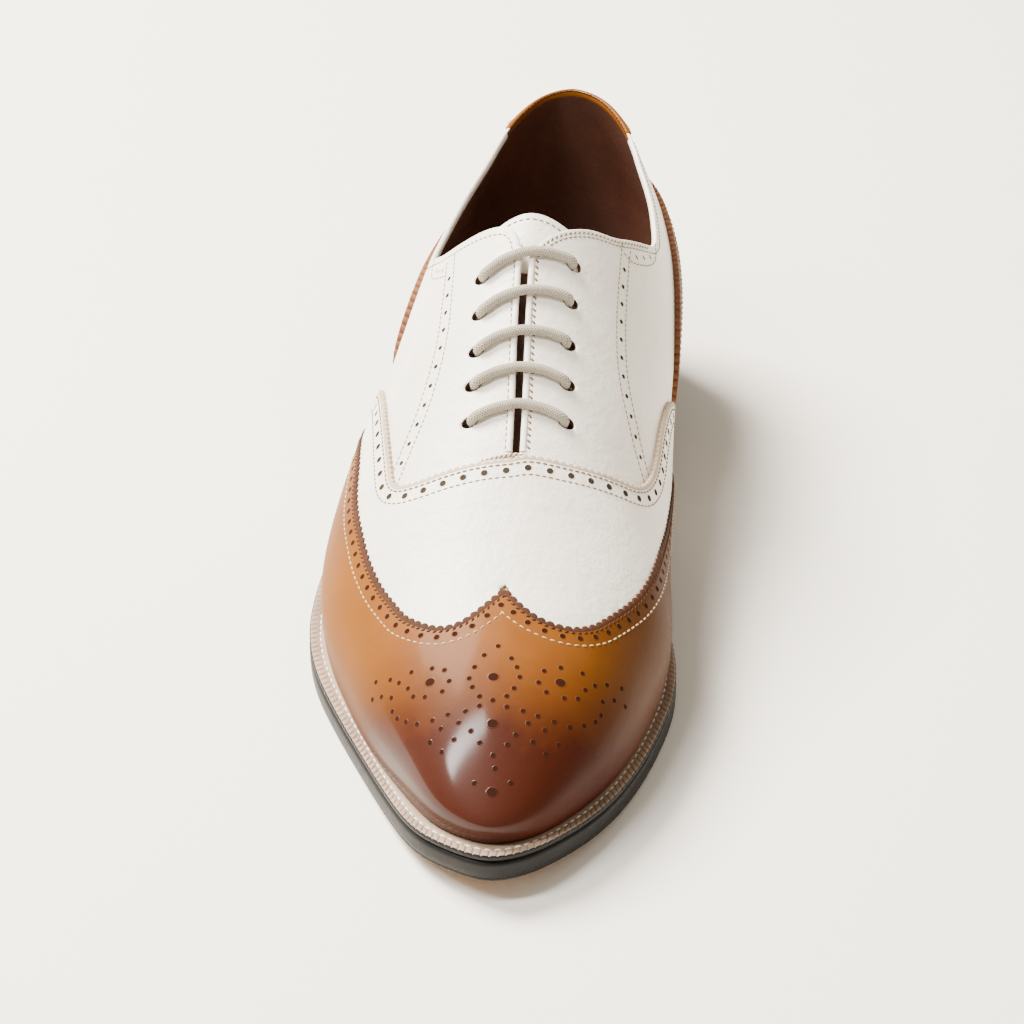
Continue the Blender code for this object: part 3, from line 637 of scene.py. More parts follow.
def skin(name, strips, outer, inner, materials, band=BAND, rim_inside=False):
    """Closed sheet between two lifts; each lift is a function of the distance from the top edge."""
    index = {}
    top_side = []
    low_side = []
    faces = []
    rim = set()
    back = set()

    def column_of(line, low, high):
        edged = high < 0.9995
        if edged:
            arc = line.arc_at(high)
            rows = [line.v_at_arc(arc + s) for s in band]
            limit = rows[0]
        else:
            arc = None
            rows = []
            limit = 1.0
        inner_rows = [low] + [r for r in ROWS if low + 0.003 < r < limit - 0.004]
        if edged:
            if rows[0] <= low:
                rows = list(np.linspace(low, high, len(band)))
                inner_rows = []
        else:
            inner_rows.append(1.0)
        values = inner_rows + rows
        distance = np.array([(line.arc_at(v) - arc) if edged else 0.05 for v in values])
        flat = line.points(values, 0.0)
        high_points = line.points(values, outer(distance))
        low_points = line.points(values, inner(distance))
        ids = []
        for k in range(len(values)):
            key = tuple(int(round(c * 2e6)) for c in flat[k])
            if key not in index:
                index[key] = len(top_side)
                top_side.append(high_points[k])
                low_side.append(low_points[k])
            ids.append(index[key])
            if edged and line.place >= TAB_END and distance[k] <= RIM_BAND:
                rim.add(index[key])
            if edged and line.place < TAB_END and distance[k] <= TAB_BAND:
                back.add(index[key])
        return values, ids, len(inner_rows), edged

    def zip_rows(va, ia, vb, ib):
        i = 0
        j = 0
        while i < len(ia) - 1 or j < len(ib) - 1:
            sa = va[i + 1] if i < len(ia) - 1 else 9.0
            sb = vb[j + 1] if j < len(ib) - 1 else 9.0
            if abs(sa - sb) < 1e-9:
                faces.append((ia[i], ia[i + 1], ib[j + 1], ib[j]))
                i += 1
                j += 1
            elif sa < sb:
                faces.append((ia[i], ia[i + 1], ib[j]))
                i += 1
            else:
                faces.append((ia[i], ib[j + 1], ib[j]))
                j += 1

    for strip in strips:
        columns = [column_of(*entry) for entry in strip]
        for a, b in zip(columns, columns[1:]):
            if a[3] and b[3]:
                na = a[2] + 1
                nb = b[2] + 1
                zip_rows(a[0][:na], a[1][:na], b[0][:nb], b[1][:nb])
                for k in range(len(band) - 1):
                    faces.append((a[1][a[2] + k], a[1][a[2] + k + 1], b[1][b[2] + k + 1], b[1][b[2] + k]))
            else:
                zip_rows(a[0], a[1], b[0], b[1])
    clean = []
    for face in faces:
        face = tuple(v for k, v in enumerate(face) if v != face[k - 1])
        if len(set(face)) >= 3:
            clean.append(face)
    count = len(top_side)
    used = set()
    for face in clean:
        for a, b in zip(face, face[1:] + face[:1]):
            used.add((a, b))
    out = [(face, 0) for face in clean]

    def lining_mark(face):
        if rim_inside and all(k in back for k in face):
            return 3
        return 2 if rim_inside and all(k in rim for k in face) else 1

    out += [(tuple(count + k for k in reversed(face)), lining_mark(face)) for face in clean]
    border = [(a, b) for a, b in used if (b, a) not in used]
    tan = [rim_inside and a in back and b in back for a, b in border]
    out += [((b, a, count + a, count + b), 3 if t else 2) for (a, b), t in zip(border, tan)]
    return solid(name, top_side + low_side, [f for f, m in out], materials, [m for f, m in out])


def mesh_of(name, verts, faces, materials):
    mesh = bpy.data.meshes.new(name)
    mesh.from_pydata([tuple(map(float, v)) for v in verts], [], [tuple(f) for f in faces])
    for m in materials:
        mesh.materials.append(m)
    return mesh


def placed(name, data):
    """Object of a mesh, light or camera, linked to the scene."""
    obj = bpy.data.objects.new(name, data)
    bpy.context.scene.collection.objects.link(obj)
    return obj


def ring_faces(count, sides, base=0):
    """Quads between neighbouring rings of corners."""
    faces = []
    for a in range(base, base + (count - 1) * sides, sides):
        for j in range(sides):
            k = (j + 1) % sides
            faces.append((a + j, a + k, a + sides + k, a + sides + j))
    return faces


def end_caps(count, sides, base=0):
    """The two end faces of such rings."""
    last = base + (count - 1) * sides
    return [tuple(base + j for j in reversed(range(sides))), tuple(last + j for j in range(sides))]


def solid(name, verts, faces, materials, indices=None, smooth=True, merge=0.000012):
    mesh = mesh_of(name, verts, faces, materials)
    if indices is not None:
        mesh.polygons.foreach_set("material_index", [min(i, len(materials) - 1) for i in indices])
    bm = bmesh.new()
    bm.from_mesh(mesh)
    bmesh.ops.remove_doubles(bm, verts=bm.verts, dist=merge)
    bmesh.ops.recalc_face_normals(bm, faces=bm.faces)
    bm.to_mesh(mesh)
    bm.free()
    if smooth:
        mesh.shade_smooth()
    return placed(name, mesh)


def dress(obj, slot, *nodes):
    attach(obj, "root")
    if nodes:
        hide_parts(*nodes)
    return obj


# ---- materials


class Look:
    """A material's node tree. Values are sockets, numbers or colours."""

    def __init__(self, name):
        self.material = bpy.data.materials.new(name)
        self.material.use_nodes = True
        self.nodes = self.material.node_tree.nodes
        self.shader = self.nodes["Principled BSDF"]
        self.at = self.nodes.new("ShaderNodeTexCoord").outputs["Object"]
        self.relief = None

    def fill(self, n, values):
        """Link or set a node's inputs."""
        for key, value in values.items():
            if isinstance(value, bpy.types.NodeSocket):
                self.material.node_tree.links.new(value, n.inputs[key])
            else:
                n.inputs[key].default_value = value
        return n.outputs

    def math(self, operation, a, b=0.0):
        n = self.nodes.new("ShaderNodeMath")
        n.operation = operation
        return self.fill(n, {0: a, 1: b})[0]

    def times(self, a, b):
        return self.math("MULTIPLY", a, b)

    def plus(self, a, b):
        return self.math("ADD", a, b)

    def noise(self, scale, detail=3.0, roughness=0.55, at=None):
        n = self.nodes.new("ShaderNodeTexNoise")
        where = self.at if at is None else at
        return self.fill(n, {"Vector": where, "Scale": scale, "Detail": detail, "Roughness": roughness})["Fac"]

    def ramp(self, source, stops):
        n = self.nodes.new("ShaderNodeValToRGB")
        while len(n.color_ramp.elements) < len(stops):
            n.color_ramp.elements.new(0.5)
        for element, (position, colour) in zip(n.color_ramp.elements, stops):
            element.position = position
            element.color = (*colour, 1.0)
        return self.fill(n, {"Fac": source})["Color"]

    def blend(self, factor, a, b):
        n = self.nodes.new("ShaderNodeMix")
        n.data_type = "RGBA"
        a, b = ((*c, 1.0) if isinstance(c, tuple) else c for c in (a, b))
        return self.fill(n, {0: factor, 6: a, 7: b})[2]

    def band(self, value, low, high):
        """0 below low, 1 above high, smooth between."""
        n = self.nodes.new("ShaderNodeMapRange")
        n.interpolation_type = "SMOOTHSTEP"
        return self.fill(n, {"Value": value, "From Min": low, "From Max": high})["Result"]

    def split(self, vector):
        return self.fill(self.nodes.new("ShaderNodeSeparateXYZ"), {0: vector})

    def bump(self, height, strength, distance):
        """One more layer of relief, over those before."""
        values = {"Height": height, "Strength": strength, "Distance": distance}
        if self.relief is not None:
            values["Normal"] = self.relief
        self.relief = self.fill(self.nodes.new("ShaderNodeBump"), values)["Normal"]
        self.fill(self.shader, {"Normal": self.relief})


def white_leather():
    look = Look("white_leather")
    cloud = look.noise(38.0)
    fine = look.noise(420.0, 2.0)
    pore = look.noise(1500.0, 2.0)
    base = look.ramp(cloud, [(0.30, (0.800, 0.752, 0.655)), (0.62, (0.880, 0.840, 0.760))])
    look.fill(look.shader, {
        "Base Color": look.blend(look.times(fine, 0.10), base, (0.62, 0.57, 0.48)),
        "Roughness": look.plus(look.times(cloud, 0.14), 0.36),
        "Coat Weight": 0.10,
        "Coat Roughness": 0.35,
        "Subsurface Weight": 0.05,
        "Subsurface Radius": (0.002, 0.0015, 0.001),
    })
    stretch = look.fill(look.nodes.new("ShaderNodeMapping"), {"Vector": look.at, "Scale": (0.22, 1.0, 1.0)})
    folds = look.noise(120.0, 2.0, 0.5, stretch["Vector"])
    for layer in ((pore, 0.30, 0.0003), (fine, 0.45, 0.0006), (folds, 0.35, 0.0012), (cloud, 0.45, 0.0017)):
        look.bump(*layer)
    return look.material


def tan_leather():
    look = Look("tan_leather")
    x, y, z = look.split(look.at)
    ahead = look.times(y, -1.0)
    cloud = look.noise(30.0, 4.0, 0.6)
    streak = look.noise(95.0)
    pore = look.noise(1300.0, 2.0)
    base = look.ramp(cloud, [
        (0.28, (0.125, 0.037, 0.0040)), (0.50, (0.160, 0.050, 0.0055)), (0.72, (0.192, 0.064, 0.0075)),
    ])
    # Golden on both sides of the cap's middle
    gold = look.band(look.math("ABSOLUTE", look.plus(x, -0.004)), 0.018, 0.040)
    gold = look.times(gold, look.band(ahead, 0.020, 0.070))
    base = look.blend(look.times(gold, 0.55), base, (0.170, 0.058, 0.0025))
    # Burnished at the toe; darker along the bottom in front, next to the welt
    nose = look.plus(ahead, look.times(z, -0.55))
    toe = look.band(nose, 0.064, 0.110)
    low = look.band(look.times(z, -1.0), -0.030, -0.013)
    low = look.times(low, look.band(ahead, 0.050, 0.110))
    dark = look.math("MAXIMUM", toe, look.times(low, 0.75))
    dark = look.times(dark, look.plus(look.times(streak, 0.45), 0.78))
    # Painted shade: darker on the medial side, which falls into shade
    painted_shade = look.band(x, 0.018, 0.048)
    base = look.blend(look.times(painted_shade, 0.80), base, (0.050, 0.0145, 0.0014))
    base = look.blend(look.math("MINIMUM", dark, 0.96), base, (0.036, 0.0048, 0.0012))
    # Polished in the middle of the toe
    centre = look.times(look.math("ABSOLUTE", look.plus(x, 0.010)), -1.0)
    polish = look.times(look.band(nose, 0.084, 0.110), look.band(centre, -0.034, -0.014))
    look.fill(look.shader, {
        "Base Color": base,
        "Roughness": look.plus(look.times(cloud, 0.14), 0.46),
        "Specular IOR Level": 0.09,
        "Coat Weight": look.plus(look.times(polish, 0.42), 0.03),
        "Coat Roughness": 0.14,
    })
    look.bump(pore, 0.12, 0.0002)
    look.bump(cloud, 0.30, 0.0012)
    return look.material


def plain(name, colour, roughness, grain=600.0, strength=0.25, depth=0.0003, vary=0.25, specular=0.5):
    look = Look(name)
    spots = look.noise(grain)
    cloud = look.noise(grain / 14.0)
    dark = tuple(c * (1 - vary) for c in colour)
    light = tuple(min(c * (1 + vary), 1.0) for c in colour)
    look.fill(look.shader, {
        "Base Color": look.ramp(cloud, [(0.25, dark), (0.75, light)]),
        "Roughness": look.plus(look.times(spots, 0.16), roughness - 0.08),
        "Specular IOR Level": specular,
    })
    look.bump(spots, strength, depth)
    return look.material


# Weave of the lace: eight strands around, and radians per metre along it
STRANDS = 50.265
TWIST = 8200.0


def lace_cotton():
    look = Look("lace_cotton")
    u, v = look.split(look.nodes.new("ShaderNodeUVMap").outputs["UV"])[0:2]
    around = look.times(u, STRANDS)
    along = look.times(v, TWIST)
    one_way = look.math("SINE", look.plus(around, along))
    weave = look.math("MAXIMUM", one_way, look.math("SINE", look.math("SUBTRACT", around, along)))
    grain = look.noise(900.0, 2.0)
    # Painted shade: the grooves between the strands are coloured darker than their crests
    base = look.blend(look.band(weave, -0.5, 1.0), (0.270, 0.230, 0.175), (0.480, 0.430, 0.345))
    look.fill(look.shader, {
        "Base Color": look.blend(look.times(grain, 0.25), base, (0.42, 0.36, 0.28)),
        "Roughness": 0.82,
        "Sheen Weight": 0.25,
        "Sheen Roughness": 0.5,
    })
    look.bump(weave, 0.70, 0.00035)
    look.bump(grain, 0.2, 0.0002)
    return look.material


WHITE = white_leather()
TAN = tan_leather()
LINING = plain("lining_leather", (0.074, 0.024, 0.012), 0.60, 700.0)
LIGHT_EDGE = plain("white_edge", (0.430, 0.335, 0.235), 0.65, 900.0, 0.3)
TAN_EDGE = plain("tan_edge", (0.150, 0.052, 0.015), 0.75, 900.0, 0.3)
DARK_EDGE = plain("cut_edge", (0.050, 0.018, 0.008), 0.80, 900.0, 0.3, specular=0.15)
# Floors of the punched holes: flat dark discs in the backing's colour, with painted shade standing in for each
# hole's depth
HOLE_BACKING_AND_SHADE = plain("hole_dark_backing_and_shade", (0.022, 0.007, 0.004), 0.95, 900.0, 0.3, specular=0.05)
HOLE_BACKING_AND_SHADE_WHITE = plain("hole_grey_backing_and_shade", (0.034, 0.024, 0.016), 0.95, 900.0, 0.3, specular=0.05)
THREAD_CREAM = plain("thread_cream", (0.500, 0.360, 0.200), 0.60, 2500.0, 0.3, 0.0001, 0.15)
THREAD_BROWN = plain("thread_brown", (0.155, 0.098, 0.056), 0.60, 2500.0, 0.3, 0.0001, 0.15)
THREAD_WHITE = plain("thread_white", (0.700, 0.655, 0.570), 0.60, 2500.0, 0.3, 0.0001, 0.12)
WELT_MAT = plain("welt_leather", (0.285, 0.195, 0.135), 0.62, 800.0, 0.5, 0.0004, 0.30)
SOLE_EDGE = plain("sole_edge", (0.0065, 0.0060, 0.0060), 0.50, 500.0, 0.25, 0.0003, 0.30, 0.22)
SOLE_UNDER = plain("sole_leather", (0.270, 0.150, 0.070), 0.50, 420.0, 0.35, 0.0004, 0.18)
RUBBER = plain("heel_rubber", (0.020, 0.019, 0.018), 0.70, 900.0, 0.5, 0.0004, 0.25)
SOCK = plain("insole_leather", (0.130, 0.062, 0.030), 0.60, 600.0, 0.35, 0.0003, 0.20)
LACE_MAT = lace_cotton()


# ---- small details on the surface


def joined(name, parts, materials):
    """One object from many small shells; parts are (verts, faces, material indices)."""
    verts = []
    faces = []
    marks = []
    for v, f, m in parts:
        start = len(verts)
        verts.extend(v)
        faces.extend([tuple(start + k for k in face) for face in f])
        marks.extend(m)
    mesh = mesh_of(name, verts, faces, materials)
    mesh.polygons.foreach_set("material_index", marks)
    mesh.shade_smooth()
    return placed(name, mesh)


def capsule(middle, along, side, up, length, radius, profile, droop, sides):
    """A stitch: closed shell whose ends bend down."""
    verts = []
    for s, r in profile:
        for j in range(sides):
            a = 2 * math.pi * j / sides
            sag = -radius * droop * (2 * s) ** 2
            offset = side * math.cos(a) * radius * r + up * (math.sin(a) * radius * r + sag)
            verts.append(middle + along * (s * length) + offset)
    faces = ring_faces(len(profile), sides) + end_caps(len(profile), sides)
    return verts, faces, [0] * len(faces)


# Capsules along and across: share of the length, share of the radius
THREAD = ((-0.5, 0.30), (-0.38, 0.85), (-0.12, 1.0), (0.12, 1.0), (0.38, 0.85), (0.5, 0.30))
WELT_THREAD = ((-0.5, 0.30), (-0.40, 0.80), (-0.18, 1.0), (0.18, 1.0), (0.40, 0.80), (0.5, 0.30))


def stitch_parts(line, lift, pitch, length, radius, slant=0.0):
    """Stitches along a curve on the surface, each a separate closed shell."""
    where, normal, tangent, across = frames(resample(line, pitch), lift)
    parts = []
    for k in range(len(where)):
        middle = where[k] + normal[k] * (radius * 0.30)
        along = tangent[k] + across[k] * slant
        along = along / np.linalg.norm(along)
        side = np.cross(normal[k], along)
        parts.append(capsule(middle, along, side, normal[k], length, radius, THREAD, 0.9, 6))
    return parts


# Punched hole from its lip inwards: share of the radius, height, material
HOLE_PROFILE = (
    (1.42, -0.00007, 0), (1.28, 0.00002, 0), (1.12, 0.00005, 0),
    (1.01, 0.00005, 0), (0.96, 0.00004, 1), (0.5, 0.00005, 1),
)


def hole_part(where, tangent, lift, radius, stretch=1.0, sides=18):
    """A punched hole: pressed lip around a flat dark disc, the backing's colour with painted shade for the
    hole's well, closed underneath.
    """
    where, normal = project(where, lift)
    tangent = tangent - normal * np.dot(tangent, normal)
    tangent = tangent / np.linalg.norm(tangent)
    across = np.cross(normal, tangent)
    verts = []
    for r, h, m in HOLE_PROFILE:
        for j in range(sides):
            a = 2 * math.pi * j / sides
            spread = tangent * (math.cos(a) * radius * r * stretch) + across * (math.sin(a) * radius * r)
            verts.append(project(where + spread, lift)[0] + normal * h)
    last = len(verts) - sides
    verts.append(where + normal * 0.00006)
    faces = ring_faces(len(HOLE_PROFILE), sides)
    faces += [(last + j, last + (j + 1) % sides, last + sides) for j in range(sides)]
    marks = [m for r, h, m in HOLE_PROFILE[1:] for _ in range(sides)]
    return verts, faces, marks + [1] * sides


def hole_row(line, lift, pitch, radius, start=0.5):
    points = resample(line, 0.0004)
    run = np.arange(len(points)) * np.linalg.norm(points[1] - points[0])
    count = max(int(run[-1] / pitch), 1)
    real = run[-1] / count
    at = [(k + start) * real for k in range(count)]
    chosen = np.column_stack([np.interp(at, run, points[:, k]) for k in range(3)])
    where, normal, tangent, across = frames(points)
    parts = []
    for p in chosen:
        k = int(np.argmin(np.linalg.norm(where - p, axis=1)))
        parts.append(hole_part(p, tangent[k], lift, radius))
    return parts


def gimp_parts(line, outward, lift, pitch=0.0026, depth=0.0011, width=0.0011, bottom=0.0):
    """Scalloped edge strip: outward is +1 for the left of the curve seen from outside, -1 for the right."""
    per = 8
    points = resample(line, pitch / per)
    where, normal, tangent, across = frames(points, lift)
    out = across * outward
    top = 0.00004
    deep = (bottom - lift) * 1.3
    rises = (top - 0.00010, top, top, top - 0.00012, top - 0.00035, deep)
    rails = [[], [], [], [], [], []]
    for k in range(len(points)):
        phase = (k % per) / per
        reach = depth * math.sin(math.pi * phase) ** 0.55 if 0 < phase < 1 else 0.0
        steps = (-width, -width * 0.7, reach - 0.00035, reach - 0.00008, reach, reach)
        for rail, step, rise in zip(rails, steps, rises):
            rail.append(where[k] + out[k] * step + normal[k] * rise)
    n = len(points)
    verts = [v for rail in rails for v in rail]
    faces = []
    for r in range(5):
        for a in range(r * n, r * n + n - 1):
            face = (a, a + 1, a + n + 1, a + n)
            faces.append(face if outward > 0 else tuple(reversed(face)))
    return [(verts, faces, [0] * len(faces))]


def cord_mesh(name, path, radius, material, sides):
    """Tube along a smooth path, with u around and v in metres along it."""
    path = soften(resample(path, 0.0007), 3)
    n = len(path)
    tangent = np.gradient(path, axis=0)
    tangent /= np.linalg.norm(tangent, axis=1)[:, None]
    run = np.concatenate([[0], np.cumsum(np.linalg.norm(np.diff(path, axis=0), axis=1))])
    across = np.cross(tangent[0], (0.0, 0.0, 1.0))
    verts = []
    for i in range(n):
        across = across - tangent[i] * np.dot(across, tangent[i])
        across = across / np.linalg.norm(across)
        other = np.cross(tangent[i], across)
        for j in range(sides):
            a = 2 * math.pi * j / sides
            verts.append(path[i] + across * math.cos(a) * radius + other * math.sin(a) * radius)
    uvs = []
    for a, b in zip(run, run[1:]):
        for j in range(sides):
            uvs.extend([(j / sides, a), ((j + 1) / sides, a), ((j + 1) / sides, b), (j / sides, b)])
    uvs.extend([(j / sides, end) for end in (0.0, run[-1]) for j in range(sides)])
    mesh = mesh_of(name, verts, ring_faces(n, sides) + end_caps(n, sides), [material])
    layer = mesh.uv_layers.new(name="UVMap")
    layer.data.foreach_set("uv", [c for uv in uvs for c in uv])
    mesh.shade_smooth()
    return placed(name, mesh)


# ---- upper and panels


CAP_TOP = SEAM + PANEL
VAMP_TOP = SEAM + 0.6 * PANEL
PANEL_FOOT = SEAM * 0.3

# Cut edges: width and depth of the worn corner; the eyelets' extra half length
WORN_WIDTH = 0.0006
WORN_DEPTH = 0.0003
EYELET_OVAL = 0.0006


def rolled(top, bottom):
    """Lifts of a folded edge: both faces meet in a half circle."""
    middle = (top + bottom) / 2
    r = (top - bottom) / 2

    def swell(s):
        d = np.clip(r - np.asarray(s), 0, r)
        return np.sqrt(np.clip(r * r - d * d, 0, None))

    return lambda s: middle + swell(s), lambda s: middle - swell(s)


def cut(top, bottom):
    """Lifts of a cut edge with its top corner worn round."""

    def upper_side(s):
        d = np.clip(1 - np.asarray(s) / WORN_WIDTH, 0, 1)
        return top - WORN_DEPTH * d * d

    return upper_side, lambda s: bottom + 0 * np.asarray(s)


def build_upper():
    lateral, medial = strips_of(0.0, 1.0, zero, collar)
    outer, inner = rolled(0.0, -WALL)
    materials = [WHITE, LINING, WHITE, TAN]
    obj = skin("upper_leather", [lateral + medial[1:]], outer, inner, materials, WIDE_BAND, True)
    verts = []
    faces = []
    sides = 24
    for row in range(len(EYELET_ROWS)):
        for side in (-1, 1):
            here, normal, up, along = eyelet_axes(row, side)
            faces += ring_faces(2, sides, len(verts)) + end_caps(2, sides, len(verts))
            for depth in (-0.0045, 0.0020):
                for i in range(sides):
                    a = 2 * math.pi * i / sides
                    tall = math.cos(a) * (EYELET / 2 + EYELET_OVAL) - EYELET_OVAL
                    verts.append(here + normal * depth + up * tall + along * math.sin(a) * EYELET / 2)
    cutter = solid("eyelet_cut", verts, faces, [LINING], None, False, 0.000001)
    m = obj.modifiers.new("eyelets", "BOOLEAN")
    m.operation = "DIFFERENCE"
    m.solver = "EXACT"
    m.object = cutter
    depsgraph = bpy.context.evaluated_depsgraph_get()
    mesh = bpy.data.meshes.new_from_object(obj.evaluated_get(depsgraph))
    obj.modifiers.clear()
    obj.data = mesh
    bpy.data.objects.remove(cutter, do_unlink=True)
    return dress(obj, "white_leather", "upper")


def eyelet(row, side):
    place, v = EYELET_ROWS[row][0:2] if side < 0 else EYELET_ROWS[row][2:4]
    return rib(side, place), v


def eyelet_axes(row, side):
    line, v = eyelet(row, side)
    here = spot(side, line.place, v)
    up = spot(side, line.place, v + 0.02) - here
    along = spot(side, line.place + 0.006, v) - here
    up = up / np.linalg.norm(up)
    normal = np.cross(up, along)
    normal = normal / np.linalg.norm(normal)
    if normal[2] < 0:
        normal = -normal
    along = np.cross(normal, up)
    if along[1] > 0:
        along = -along
    return here, normal, up, along


build_upper()

strips = strips_of(0.366, 0.856, vamp_bottom, vamp_top)
outer, inner = cut(VAMP_TOP, PANEL_FOOT)
dress(skin("vamp_leather", strips, outer, inner, [WHITE, WHITE, LIGHT_EDGE]), "white_leather", "vamp")

lateral, medial = strips_of(0.402, 1.0, zero, cap_edge)
outer, inner = cut(CAP_TOP, PANEL_FOOT)
cap = skin("cap_leather", [lateral + medial[1:]], outer, inner, [TAN, TAN, DARK_EDGE])
dress(cap, "tan_leather", "wing_cap")

lateral, medial = strips_of(0.0, 0.354, zero, counter_edge)
counter = skin("counter_leather", [medial[:-1] + lateral], outer, inner, [TAN, TAN, TAN_EDGE])
dress(counter, "tan_leather", "heel_counter")

lateral, medial = strips_of(0.0, 0.098, tab_edge, collar, 0.003)


def tab_outer(s):
    """The tab bends over the collar's rim."""
    d = np.clip(1 - np.asarray(s) / 0.0026, 0, 1)
    return 0.0010 - 0.0016 * d * d


def tab_inner(s):
    return tab_outer(s) - 0.0010


tab = skin("tab_leather", [medial[:-1] + lateral], tab_outer, tab_inner, [TAN, TAN, TAN], WIDE_BAND)
dress(tab, "tan_leather", "heel_tab")

LACE_DEPTH = WALL + LACE / 2 + 0.0007
TONGUE_DEPTH = LACE_DEPTH + LACE / 2 + 0.0006


def wide_tongue(p, side):
    """The tongue's edge, with a broader and flatter top."""
    return tongue_edge(p, side) - 0.085 * math.exp(-((p - 0.3530) / 0.0050) ** 2)


strips = strips_of(0.3518, 0.645, wide_tongue, one, 0.004)
outer, inner = rolled(-TONGUE_DEPTH, -TONGUE_DEPTH - TONGUE)
dress(skin("tongue_leather", strips, outer, inner, [WHITE, LINING, WHITE]), "white_leather", "tongue")


# ---- seams, holes and gimping


# Strip's section: share of the half width, share of the height; below 0 a depth
RIDGE_PROFILE = (
    (-1.0, -0.0006), (-0.98, 0.0), (-0.8, 0.6), (-0.45, 0.92), (0.0, 1.0),
    (0.45, 0.92), (0.8, 0.6), (0.98, 0.0), (1.0, -0.0006),
)


def ridge(line, width, height, lift):
    """Low rounded strip along a curve, sunk a little at its sides."""
    points = resample(line, 0.0006)
    where, normal, tangent, across = frames(points, lift)
    verts = []
    for k in range(len(points)):
        for a, h in RIDGE_PROFILE:
            rise = h * height if h >= 0 else h
            verts.append(where[k] + across[k] * (a * width / 2) + normal[k] * rise)
    m = len(RIDGE_PROFILE)
    faces = ring_faces(len(points), m) + [tuple(reversed(face)) for face in end_caps(len(points), m)]
    return [(verts, faces, [0] * len(faces))]


toe_line = rib(-1, 1.0).points(np.linspace(1, 0.05, 200), 0.0)


def divide(line, side):
    """Part of a curve on its own side of the cap's middle line."""
    middle = np.interp(-line[:, 1], -toe_line[:, 1], toe_line[:, 0])
    return line[side * (line[:, 0] - middle) >= 0]


cap_l, cap_m = (soften(edge_line(cap_edge, side, 0.403, 0.8609), 6) for side in (-1, 1))
vamp_l = edge_line(vamp_top, -1, 0.367, 0.6199)
vamp_m = edge_line(vamp_top, 1, 0.367, 0.6174)
vamp_line = soften(np.vstack([vamp_l, vamp_m[::-1][1:]]), 8)
counter_l, counter_m = (edge_line(counter_edge, side, 0.0, 0.3535) for side in (-1, 1))
counter_line = soften(np.vstack([counter_l[::-1], counter_m[1:]]), 8)

gimps = gimp_parts(cap_l, 1, CAP_TOP, bottom=0.0003) + gimp_parts(cap_m[::-1], 1, CAP_TOP, bottom=0.0003)
dress(joined("cap_gimping", gimps, [DARK_EDGE]), "tan_leather")
gimps = gimp_parts(counter_line, -1, CAP_TOP, 0.0026, 0.0009, 0.0005, 0.0002)
dress(joined("counter_gimping", gimps, [TAN_EDGE]), "tan_leather")
gimps = gimp_parts(vamp_line, 1, VAMP_TOP, 0.0022, 0.0008)
dress(joined("vamp_gimping", gimps, [LIGHT_EDGE]), "white_leather")

# Stitches: pitch, length, radius
CREAM_STITCH = (0.0023, 0.0016, 0.00024)
FINE_STITCH = (0.0018, 0.00155, 0.00018)

tan_holes = []
white_holes = []
cream = []
brown = []
dark = []
for line, side in ((cap_l, -1), (cap_m, 1)):
    near, far, edge = (divide(beside(line, side * d), side) for d in (0.0031, 0.0054, 0.0013))
    tan_holes += hole_row(near[::-1], CAP_TOP, 0.0051, 0.00085, 0.06 if side < 0 else 0.75)
    cream += stitch_parts(far, CAP_TOP, *CREAM_STITCH)
    dark += stitch_parts(edge, CAP_TOP, 0.0019, 0.0015, 0.00026, 0.5)

tan_holes += hole_row(beside(counter_line, 0.0030), CAP_TOP, 0.0052, 0.00080)
cream += stitch_parts(beside(counter_line, 0.0050), CAP_TOP, *CREAM_STITCH)
cream += stitch_parts(beside(counter_line, 0.0013), CAP_TOP, 0.0021, 0.0015, 0.00020)

white_holes += hole_row(beside(vamp_line, -0.0036), VAMP_TOP, 0.0062, 0.00105)
brown += stitch_parts(beside(vamp_line, -0.0016), VAMP_TOP, 0.0019, 0.0017, 0.00028)
brown += stitch_parts(beside(vamp_line, -0.0058), VAMP_TOP, 0.0019, 0.0016, 0.00022)

# Punched bands of the facings: place, share of the section line
BAND_L = [
    (0.3653, 0.6485), (0.3861, 0.6671), (0.4134, 0.6806), (0.4408, 0.6945), (0.4606, 0.7019),
    (0.4806, 0.7020), (0.4978, 0.6948), (0.5125, 0.6879), (0.5295, 0.6740), (0.5416, 0.6578),
    (0.5561, 0.6379), (0.5731, 0.6168), (0.5825, 0.6027),
]
BAND_M = [
    (0.3310, 0.6000), (0.3530, 0.5970), (0.3751, 0.5971), (0.3996, 0.5971), (0.4192, 0.5965),
    (0.4388, 0.5930), (0.4609, 0.5880), (0.4781, 0.5755), (0.4952, 0.5540), (0.5099, 0.5252),
    (0.5271, 0.4964), (0.5393, 0.4604), (0.547, 0.435),
]
for rows, side in ((BAND_L, -1), (BAND_M, 1)):
    line = soften(resample(spots(rows, side), LINE_STEP), 30)
    white_holes += hole_row(line[6:-5], 0.0, 0.0062, 0.00078)
    for offset in (-0.0021, 0.0021):
        brown += stitch_parts(beside(line, offset, 2), 0.0, *FINE_STITCH)

for side in (-1, 1):
    top = soften(edge_line(collar, side, 0.10, 0.4015), 4)
    brown += stitch_parts(beside(top, side * 0.0029), 0.0, 0.0018, 0.00155, 0.00019)
    if side < 0:
        brown += stitch_parts(slit_line(side, 0.0031, 0.410, 0.603), 0.0, 0.0021, 0.0016, 0.00024)
    else:
        front = soften(edge_line(collar, side, 0.29, 0.4015), 4)
        brown += stitch_parts(beside(front, 0.0016), 0.0, 0.0017, 0.0014, 0.00026, 0.6)
        brown += stitch_parts(slit_line(side, 0.0036, 0.410, 0.603), 0.0, 0.0021, 0.0016, 0.00034, 0.8)

